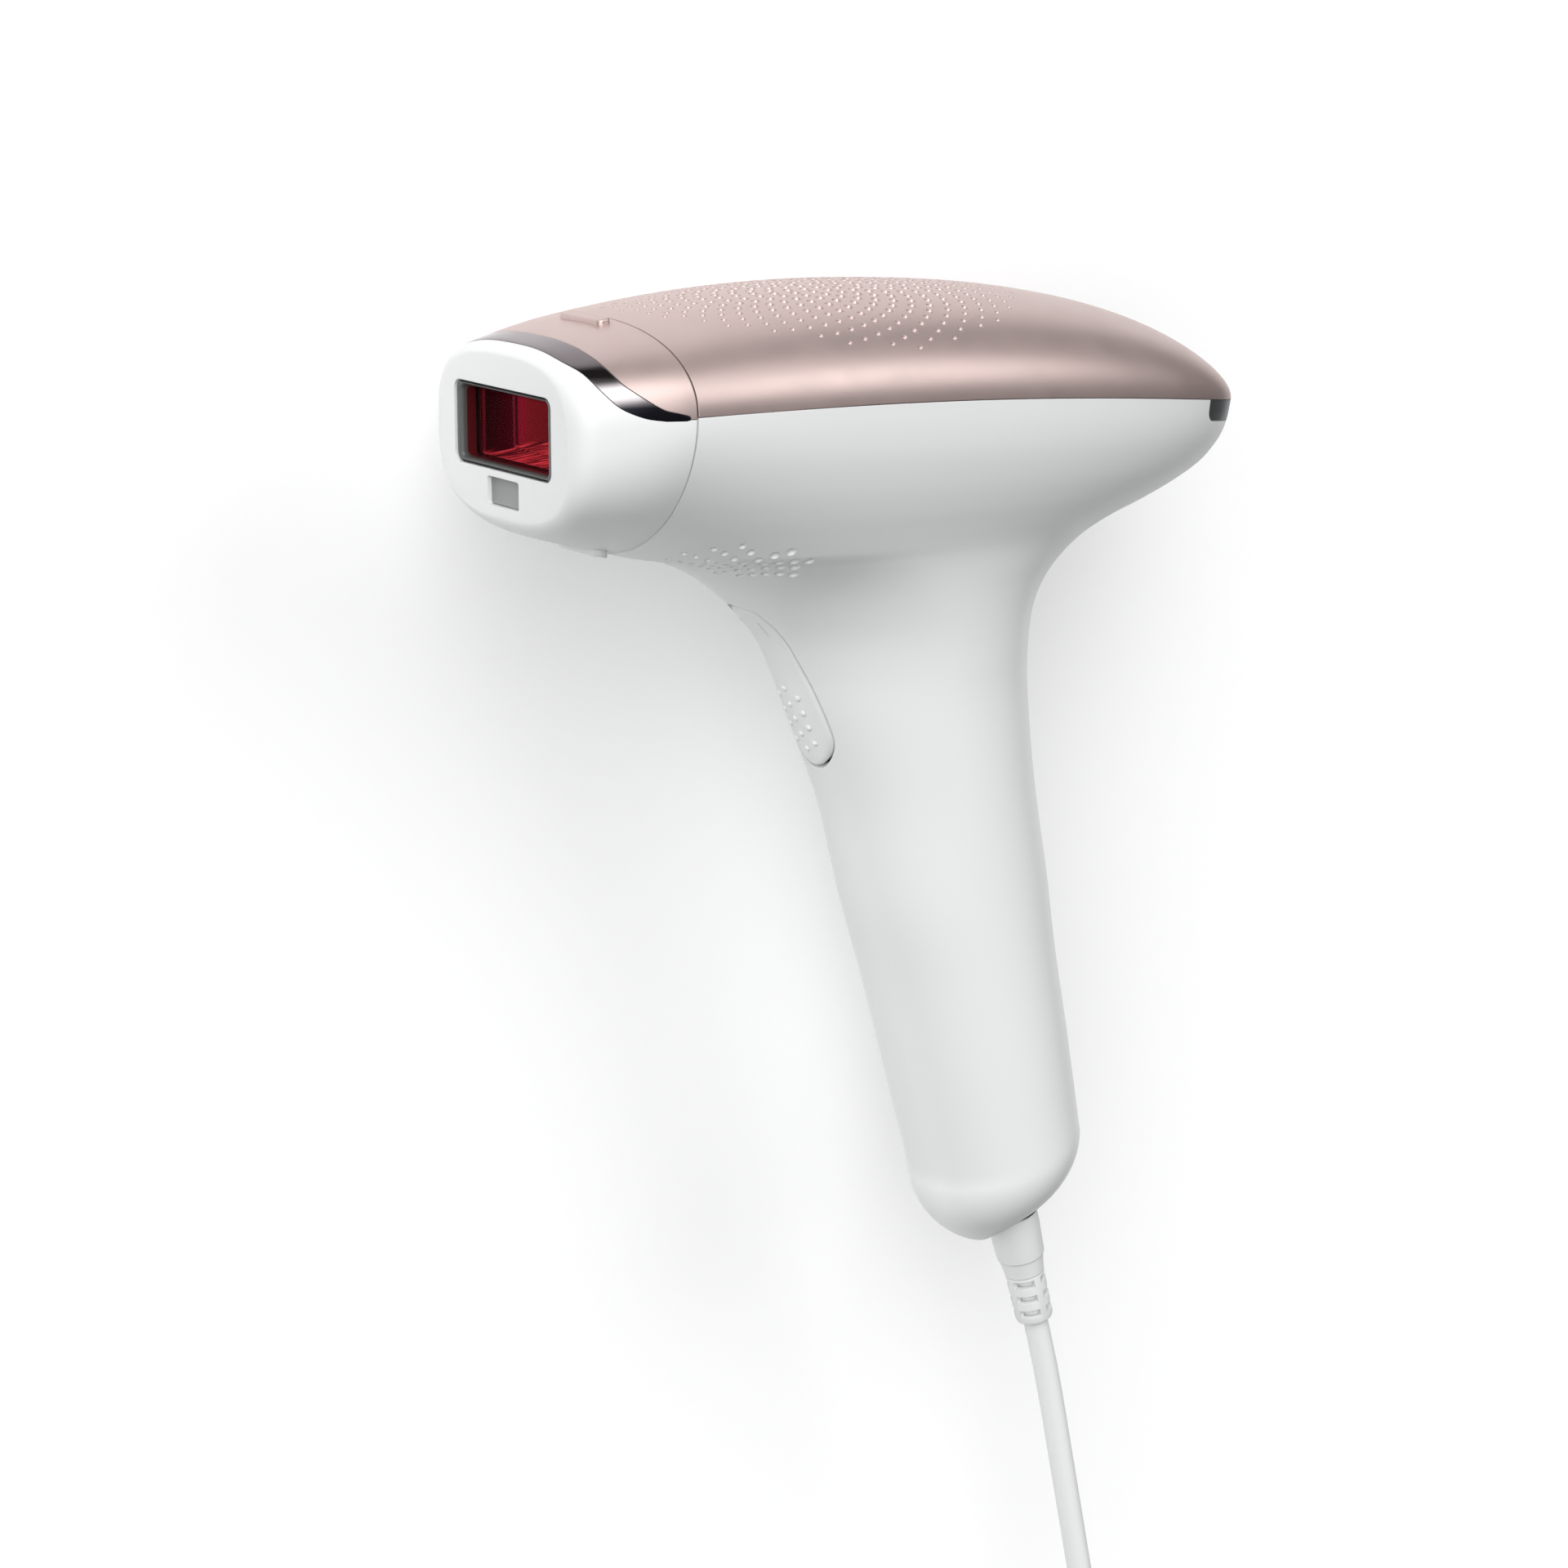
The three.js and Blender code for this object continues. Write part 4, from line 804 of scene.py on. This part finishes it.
def build_skins():
    housing = carve(make("housing", lower_shape), [
        ("INTERSECT", parting_region(-LINE_GAP, False)),
        ("INTERSECT", behind_seam()),
        ("DIFFERENCE", lower_inside),
        ("DIFFERENCE", merged([
            strip_region(STRIP["gap"]), button_opening(), key_rod(POWER_KEY, KEY_GAP),
            key_rod(CHECK_KEY, KEY_GAP), *socket_rods(),
        ])),
        ("DIFFERENCE", belly_pits()),
    ])
    finish_piece(housing, "handpiece", "white_shell", "body_housing")

    cover = carve(make("cover", loft(upper_rings(DETAIL // 2, DETAIL // 2, 0))), [
        ("INTERSECT", parting_region(LINE_GAP, True)),
        ("INTERSECT", behind_seam()),
        ("DIFFERENCE", loft(upper_rings(48, 30, WALL))),
        ("DIFFERENCE", crest_pits()),
    ])
    finish_piece(cover, "handpiece", "rose_cover", "top_cover")

    strip = carve(make("tail_strip", lower_shape), [
        ("INTERSECT", parting_region(-LINE_GAP, False)),
        ("DIFFERENCE", lower_inside),
        ("INTERSECT", strip_region(-STRIP["gap"])),
    ])
    finish_piece(strip, "handpiece", "dark_panel", "rear_light_strip")


# ---- Attachment ----
WINDOW = {"half": 17.0, "high": 8.0, "corner": 2.0}
# Window frame: half width, half height and corner of its rim, its hole and the flange behind the wall.
RIM = (WINDOW["half"] - 0.15, WINDOW["high"] - 0.15, 1.85)
HOLE = (15.15, 7.0, 1.0)
FLANGE = (18.5, 9, 1.2)
# Steps of its section: growth and x.
FLANGE_STEPS = [(0, 3.7), (0, 2.6)]
RIM_STEPS = [(0, 2.6), (0, 0.75), (-0.1, 0.5), (-0.35, 0.35)]
HOLE_STEPS = [(0.75, 0.35), (0.3, 0.5), (0.05, 0.85), (0, 1.1), (0, 3.7)]
# Filter pane, and the steps of its section: inset, corner and x.
GLASS = {"half": 14.7, "high": 6.6}
GLASS_STEPS = [(0.25, 0.8, 1.25), (0, 1.0, 1.5), (0, 1.0, RECESS + 2)]
# Light tunnel: thickness, inner and outer corner, and its sections: x, half width, half height.
TUNNEL_WALL, TUNNEL_CORNER, TUNNEL_OUTER_CORNER = 0.9, 0.8, 1.4
TUNNEL = [
    (4.9, 15.0, 6.8), (5.2, 15.0, 6.8), (5.5, 15.1, 6.9), (11.6, 14.3, 6.5),
    (11.8, 14.1, 6.3), (12.3, 14.1, 6.3), (12.5, 14.2, 6.4), (19.9, 13.2, 5.9),
]
SENSOR = {"half": 5.5, "top": -9.3, "bottom": -14.8, "corner": 0.6}
SENSOR_MIDDLE = (0.0, (SENSOR["top"] + SENSOR["bottom"]) / 2)
SENSOR_HIGH = (SENSOR["top"] - SENSOR["bottom"]) / 2
# Steps of its pane's section: inset across, inset in height, corner and x.
SENSOR_STEPS = [(0.9, 0.5, 0.4, 1.35), (0.6, 0.3, 0.5, 1.15), (0.12, 0.12, 0.5, 0.9), (0.12, 0.12, 0.5, 2.6)]
TRIM_FRONT = [(3.2, 40), (3.2, 17), (3, 14.8), (4.3, 12.9), (5.7, 10), (8.2, 6.9), (12.2, 4.9), (16, 4.15)]
TRIM_REAR = [(8.3, 40), (8.3, 18), (8.1, 15.8), (9.3, 11.9), (11.2, 9.6), (15.3, 6.5), (18.4, 5.5)]
TRIM_GAP = 0.09
# End of the trim band at the seam, and of the pieces in front of it and behind it.
TRIM_END = [(19.9, 4.95), (20.35, 4.6), (20.3, 4.25), (19.8, 4.12)]
NOSE_END = [(19.8, 4.02), (20.6, 4.2), (30, 4.2)]
ROSE_END = [(20.05, 5.05), (20.5, 4.65), (20.5, 4.3), (30, 4.3)]


def trim_edges(shift):
    """Front and rear side-view edges of the trim band, moved along x."""
    front = np.vstack([TRIM_FRONT[:1], catmull_path(TRIM_FRONT[1:], 8)]) + [shift, 0]
    rear = np.vstack([TRIM_REAR[:1], catmull_path(TRIM_REAR[1:], 8)]) - [shift, 0]
    return front, rear


def trim_region():
    front, rear = trim_edges(TRIM_GAP)
    return prism(np.vstack([front, TRIM_END[::-1], rear[::-1]]), "y", -CUT_SIDE, CUT_SIDE)


def nose_region():
    front, _ = trim_edges(-TRIM_GAP)
    below = [[30, -60], [-20, -60], [-20, 40]]
    return prism(np.vstack([front, NOSE_END, below]), "y", -CUT_SIDE, CUT_SIDE)


def rose_region():
    _, rear = trim_edges(-TRIM_GAP)
    return prism(np.vstack([rear, ROSE_END, [[30, 40]]]), "y", -CUT_SIDE, CUT_SIDE)


def head_stations():
    """Places along x of the attachment's sections, close together where its front edge is rounded."""
    edge = NOSE["edge"] * (1 - np.cos(np.linspace(0, np.pi / 2, 14)))
    return np.concatenate([edge, np.linspace(NOSE["edge"], SEAM_X - SEAM_GAP, 14)[1:]])


head_outer = loft([head_ring(x, 0, 240) for x in head_stations()])
head_tree = BVHTree.FromPolygons([Vector(p) for p in head_outer[0]], head_outer[1])
head_inner = loft([head_ring(x, WALL, 72) for x in (2.2, 4.5, 8, 13, 18, SEAM_X + 1)])


RIDGE = {"half_x": 1.5, "half_y": 7.2, "corner": 1.3, "round": 0.35}
# Place along x and height above the skin.
CREST_RIDGE = (18.9, 1.0)
BELLY_RIDGE = (17.8, 1.3)


def grip_ridge(x, proud, up):
    """Raised bar with rounded edges across the crest (up = 1) or the belly (up = -1)."""
    rings = []
    levels = [(0.0, -1.0)]
    for angle in np.linspace(0, math.pi / 2, 7):
        rise = proud - RIDGE["round"] * (1 - math.sin(angle))
        levels.append((RIDGE["round"] * (1 - math.cos(angle)), rise))
    for shrink, rise in levels:
        outline = rounded_rect(
            RIDGE["half_x"] - shrink, RIDGE["half_y"] - shrink, RIDGE["corner"] - shrink, 8, (x, 0.0),
        )
        ring = []
        for a, b in outline:
            place, _, _, _ = head_tree.ray_cast(Vector((a, b, up * 60)), Vector((0, 0, -up)))
            ring.append([a, b, place.z + up * rise])
        rings.append(np.array(ring))
    return loft(rings)


def window_frame():
    """Grey frame: a ring with rounded front edges and a flange behind the nose wall."""
    rings = []
    for (half, high, corner), steps in ((FLANGE, FLANGE_STEPS), (RIM, RIM_STEPS), (HOLE, HOLE_STEPS)):
        for grow, x in steps:
            rings.append(at_x(rounded_rect(half + grow, high + grow, corner + grow), x))
    return tube(rings)


def filter_pane():
    rings = []
    for inset, corner, x in GLASS_STEPS:
        rings.append(at_x(rounded_rect(GLASS["half"] - inset, GLASS["high"] - inset, corner), x))
    return loft(rings)


def sensor_pane():
    rings = []
    for inset, inset_high, corner, x in SENSOR_STEPS:
        outline = rounded_rect(SENSOR["half"] - inset, SENSOR_HIGH - inset_high, corner, 4, SENSOR_MIDDLE)
        rings.append(at_x(outline, x))
    return loft(rings)


def light_tunnel():
    """Tapering rectangular tunnel behind the filter, with a lip at its mouth and a rib across its walls."""
    rings = []
    for x, half, high in TUNNEL:
        rings.append(at_x(rounded_rect(half, high, TUNNEL_CORNER, 3), x))
    for x, half, high in TUNNEL[::-1]:
        outline = rounded_rect(half + TUNNEL_WALL, high + TUNNEL_WALL, TUNNEL_OUTER_CORNER, 3)
        rings.append(at_x(outline, x))
    return tube(rings)


def build_attachment():
    openings = merged([
        prism(rounded_rect(WINDOW["half"], WINDOW["high"], WINDOW["corner"]), "x", -1, 4),
        prism(rounded_rect(SENSOR["half"], SENSOR_HIGH, SENSOR["corner"], 4, SENSOR_MIDDLE), "x", -1, 4),
    ])
    shell = carve(make("nose_shell", head_outer), [
        ("DIFFERENCE", head_inner), ("INTERSECT", nose_region()), ("DIFFERENCE", openings),
        ("UNION", grip_ridge(*BELLY_RIDGE, -1)),
    ])
    finish_piece(shell, "attachment", "white_shell", "attachment_shell")
    trim = carve(make("nose_trim", head_outer), [("DIFFERENCE", head_inner), ("INTERSECT", trim_region())])
    finish_piece(trim, "attachment", "bright_trim", "attachment_trim")
    crest = carve(make("nose_cover", head_outer), [
        ("DIFFERENCE", head_inner), ("INTERSECT", rose_region()), ("UNION", grip_ridge(*CREST_RIDGE, 1)),
    ])
    finish_piece(crest, "attachment", "rose_cover", "attachment_cover")
    ring = make("window_ring", window_frame())
    finish_piece(ring, "contact_ring", "frame_grey", "window_frame")
    pane = make("filter_pane", filter_pane())
    finish_piece(pane, "attachment", "red_filter", "filter_glass")
    tunnel = make("light_tunnel", light_tunnel())
    finish_piece(tunnel, "attachment", "reflector_red", "attachment_reflector")
    sensor = make("sensor_pane", sensor_pane())
    finish_piece(sensor, "attachment", "sensor_grey", "skin_sensor_window")


# ---- Buttons ----
# Grip bumps of the flash button: place across and height.
BUMPS = [(0, -58.4), (0, -61.8), (0, -65), (0, -68.3), (0, -71.6)]
BUMPS += [(side * 3.0, z) for side in (-1, 1) for z in (-60.1, -63.4, -66.6, -70)]
BUMP_RADIUS, BUMP_RISE = 0.68, 0.45
LUG = [(57, -43.6), (60, -46.9), (65.4, -45.6), (67.2, -43.4), (65.4, -41.4), (62, -40.9)]
LUG_HALF = 3
PIVOT = np.array([65.2, -6, -43.4])
PIVOT_RADIUS, PIVOT_LENGTH = 1.1, 12


def button_bumps():
    centres, normals = [], []
    for y, z in BUMPS:
        place, normal, _, _ = lower_tree.ray_cast(Vector((40, y, z)), Vector((1, 0, 0)))
        centres.append(place)
        normals.append(normal)
    count = len(centres)
    return ellipsoids(centres, normals, [BUMP_RADIUS] * count, [BUMP_RISE] * count, 18, 5)


def button_cap():
    """Curved cap following the neck, its outer edge rounded."""
    middle = BUTTON_OUTLINE[-1][0] / 2
    inset, steps = BUTTON_CAP["inset"], BUTTON_CAP["rings"]
    fillet = np.linspace(0, math.pi / 2, 7)
    levels = [(0.0, BUTTON_CAP["thick"])] + [
        (BUTTON_CAP["round"] * (1 - math.cos(a)), BUTTON_CAP["round"] * (1 - math.sin(a))) for a in fillet
    ]
    rings = []
    for shrink, sunk in levels:
        rings.append(on_neck(button_outline(-inset - shrink), sunk))
    last = button_outline(-inset - BUTTON_CAP["round"])
    for k in range(1, steps):
        scaled = (last - [middle, 0]) * (1 - k / steps) + [middle, 0]
        rings.append(on_neck(scaled, 0.0))
    return loft(rings)


def build_buttons():
    button = carve(make("flash_key_cap", button_cap()), [
        ("UNION", button_bumps()),
        ("UNION", prism(LUG, "y", -LUG_HALF, LUG_HALF)),
        ("DIFFERENCE", rod(PIVOT, np.array([0, 1, 0]), PIVOT_RADIUS, PIVOT_LENGTH, 32)),
    ])
    finish_piece(button, "flash_key", "white_shell", "flash_button")
    for name, key, body, node in (
        ("power_cap", POWER_KEY, "power_key", "power_button"),
        ("check_cap", CHECK_KEY, "skin_check_key", "skin_check_button"),
    ):
        above = key["at"] + key["out"] * DISH["above"]
        dish = ellipsoids([above], [key["out"]], [key["radius"] - DISH["rim"]], [DISH["depth"]], 48, 10)
        cap = carve(make(name, lower_shape), [
            ("INTERSECT", key_rod(key, 0)), ("DIFFERENCE", lower_inside), ("DIFFERENCE", dish),
        ])
        finish_piece(cap, body, "white_shell", node)


# ---- Plug and cord ----
GRIP_PROFILE = [
    (4.6, -0.6), (5.2, -0.6), (5.45, -0.4), (5.6, 0.2), (5.6, 3), (5.28, 9.6), (5.2, 10.0), (4.95, 10.2),
    (4.4, 13.6), (4.35, 14.2),
]
BOOT = {
    "from": 14.3, "to": 26.1, "outer": 4.3, "inner": 3.0, "rows": 3, "pitch": 3.65, "slot": 1.6,
    "first": 15.9, "span": 0.57,
}
CORD = {"radius": 2.7, "bend_from": 29.0, "bend_to": 50.0, "end_z": -292.0}
CORD_OUT = np.array([0.205, 0, -0.9788])


def plug_point(s):
    return PLUG_AT + PLUG_OUT * s


def cord_boot():
    """Bend relief: a sleeve with rows of four slots cut through it."""
    span = BOOT["span"]
    profile = [
        (BOOT["inner"], BOOT["from"]), (BOOT["outer"], BOOT["from"]), (BOOT["outer"], BOOT["from"] + 1),
        (BOOT["outer"] - 0.15, BOOT["to"] - 0.8), (BOOT["outer"] - 0.35, BOOT["to"] - 0.25),
        (BOOT["outer"] - 0.7, BOOT["to"]), (BOOT["inner"], BOOT["to"]),
    ]
    boot = make("boot", tube(turned(profile, PLUG_AT, PLUG_OUT, 64)))
    d, u, w = basis(PLUG_OUT)
    wedges = []
    for row in range(BOOT["rows"]):
        for k in range(4):
            middle = math.pi / 2 * (k + 0.5)
            low = BOOT["first"] + row * BOOT["pitch"] - BOOT["slot"] / 2
            ring = []
            for r, turn in ((BOOT["inner"] - 0.4, -1), (BOOT["outer"] + 0.6, 1)):
                steps = np.linspace(-turn * span, turn * span, 7)
                ring += [(r * math.cos(middle + a), r * math.sin(middle + a)) for a in steps]
            points, faces = prism(ring, "z", low, low + BOOT["slot"])
            across = np.outer(points[:, 0], u) + np.outer(points[:, 1], w)
            wedges.append((PLUG_AT + across + np.outer(points[:, 2], d), faces))
    return carve(boot, [("DIFFERENCE", merged(wedges))])


def cord():
    start, bend_start = plug_point(BOOT["from"] + 0.3), plug_point(CORD["bend_from"])
    bend_middle = plug_point((CORD["bend_from"] + CORD["bend_to"]) / 2)
    bend_end = bend_middle + CORD_OUT * (CORD["bend_to"] - CORD["bend_from"]) / 2
    end = bend_end + CORD_OUT * (CORD["end_z"] - bend_end[2]) / CORD_OUT[2]
    path = [start, start + (bend_start - start) / 2]
    for k in range(17):
        t = k / 16
        path.append(bend_start * (1 - t) ** 2 + bend_middle * 2 * t * (1 - t) + bend_end * t * t)
    path += [bend_end + (end - bend_end) * k / 6 for k in range(1, 7)]
    rings = []
    for i, place in enumerate(path):
        tangent = path[min(i + 1, len(path) - 1)] - path[max(i - 1, 0)]
        rings += turned([(CORD["radius"], 0)], place, tangent, 40)
    return loft(rings)


def build_plug():
    grip = make("grip", loft(turned(GRIP_PROFILE, PLUG_AT, PLUG_OUT, 64)))
    finish_piece(grip, "plug_lead", "cord_white", "plug_grip")
    finish_piece(cord_boot(), "plug_lead", "cord_white", "cord_boot")
    finish_piece(make("cord", cord()), "plug_lead", "cord_white", "power_cord")


# ---- Carried-over CAD nodes ----
def dress_frame_nodes():
    slots = {row["node"]: row["material_slot"] for row in frame["record"]["subparts"]}
    for node, piece in frame["nodes"].items():
        dress(piece, slots[node], CAD_SHARP_ANGLE)


# ---- Stage ----
AZIMUTH, ELEVATION = math.radians(-35.93), math.radians(13.96)
CAMERA_PLACE = Vector((-0.40595, -0.64867, 0.12092))
LENS, SENSOR_WIDTH = 93.75, 36.0
RIGHT = Vector((math.cos(AZIMUTH), math.sin(AZIMUTH), 0))
BACK = Vector((
    math.sin(AZIMUTH) * math.cos(ELEVATION), -math.cos(AZIMUTH) * math.cos(ELEVATION), math.sin(ELEVATION),
))
UP = BACK.cross(RIGHT)
BOARD_CENTRE = (0.12, 0.05, -0.08)
BOARD_REACH = 0.45
BOARD_GLOW = 0.15


def studio_direction(right, up, back):
    return (RIGHT * right + UP * up + BACK * back).normalized()


def make_camera():
    data = bpy.data.cameras.new("camera")
    data.lens = LENS
    data.sensor_width = SENSOR_WIDTH
    data.clip_start = 0.01
    data.clip_end = 20
    camera = bpy.data.objects.new("camera", data)
    bpy.context.scene.collection.objects.link(camera)
    camera.matrix_world = Matrix.Translation(CAMERA_PLACE) @ Matrix((RIGHT, UP, BACK)).transposed().to_4x4()
    bpy.context.scene.camera = camera


def backdrop():
    """Pale wall behind the object, clear towards its rim and from behind."""
    centre = Vector(BOARD_CENTRE)
    along, up = Vector((1, 0, 0)), Vector((0, 0, 1))
    points = []
    for angle in np.linspace(0, 2 * math.pi, 64, endpoint=False):
        outwards = along * math.cos(angle) + up * math.sin(angle)
        points.append(centre + outwards * BOARD_REACH)
    mesh = bpy.data.meshes.new("backdrop")
    mesh.from_pydata(points, [], [range(len(points))])
    board = bpy.data.objects.new("backdrop", mesh)
    bpy.context.scene.collection.objects.link(board)
    mesh.materials.append(board_material(centre))


def board_material(centre):
    material, nodes, links, shader = new_material("backdrop")
    fill(
        shader, Base_Color=(0.86, 0.86, 0.865, 1), Roughness=0.9, Specular_IOR_Level=0.0,
        Emission_Color=(1, 1, 1, 1), Emission_Strength=BOARD_GLOW,
    )
    apart = add(nodes, "VectorMath")
    apart.operation = "DISTANCE"
    apart.inputs[1].default_value = centre
    links.new(object_place(nodes), apart.inputs[0])
    distance = apart.outputs["Value"]
    fade = share_between(nodes, links, distance, 0.5 * BOARD_REACH, 0.95 * BOARD_REACH, "SMOOTHSTEP")
    facing = add(nodes, "NewGeometry")
    either = arithmetic(nodes, "MAXIMUM")
    links.new(fade, either.inputs[0])
    links.new(facing.outputs["Backfacing"], either.inputs[1])
    clear = add(nodes, "BsdfTransparent")
    blend_shaders(nodes, links, either.outputs["Value"], shader.outputs["BSDF"], clear.outputs["BSDF"])
    return material


def lit_lobe(nodes, links, ray, direction, low, high):
    """Smooth patch of light round a direction: 0 below low, 1 above high, of the cosine to it."""
    dot = add(nodes, "VectorMath")
    dot.operation = "DOT_PRODUCT"
    dot.inputs[1].default_value = direction
    links.new(ray, dot.inputs[0])
    return share_between(nodes, links, dot.outputs["Value"], low, high, "SMOOTHSTEP")


# Direction (right, up, back of the camera), cosines where the light starts and is full, and strength.
LIGHTS = [
    ((-0.05, 0.35, 0.93), 0.86, 0.98, 2.2),
    ((0.05, 0.6, 0.78), 0.86, 0.98, 1.9),
    ((-0.35, 0.45, 0.82), 0.86, 0.98, 0.3),
    ((-0.05, 0.05, 1), 0.86, 0.98, 2.4),
    ((-0.1, -0.25, 0.96), 0.88, 0.98, 1.2),
    ((0, 0, 1), 0.1, 1, 0.25),
    ((0, 1, 0), 0.1, 1, 0.25),
    ((0.7, 0, 0.7), 0.1, 1, 0.1),
    ((0.85, 0.34, 0.3), 0.93, 0.99, 3.2),
    ((0.5, 0.72, 0.48), 0.93, 0.99, 1.8),
]
AMBIENT = 0.03


def make_world():
    """White to the camera; the light comes from soft patches round the camera, above it and to its right."""
    world = bpy.data.worlds.new("studio")
    world.use_nodes = True
    bpy.context.scene.world = world
    nodes, links = world.node_tree.nodes, world.node_tree.links
    ray = add(nodes, "TexCoord").outputs["Generated"]
    total = None
    for direction, low, high, strength in LIGHTS:
        lobe = lit_lobe(nodes, links, ray, studio_direction(*direction), low, high)
        scaled = arithmetic(nodes, "MULTIPLY_ADD")
        scaled.inputs[1].default_value = strength
        if total is None:
            scaled.inputs[2].default_value = AMBIENT
        else:
            links.new(total, scaled.inputs[2])
        links.new(lobe, scaled.inputs[0])
        total = scaled.outputs["Value"]
    studio = add(nodes, "Background")
    links.new(total, studio.inputs["Strength"])
    white = add(nodes, "Background", Color=(1, 1, 1, 1))
    path = add(nodes, "LightPath")
    blend_shaders(
        nodes, links, path.outputs["Is Camera Ray"], studio.outputs["Background"],
        white.outputs["Background"], "World Output",
    )


build_skins()
build_attachment()
build_buttons()
build_plug()
dress_frame_nodes()
backdrop()
make_world()
make_camera()
bpy.context.scene.view_settings.view_transform = "Standard"
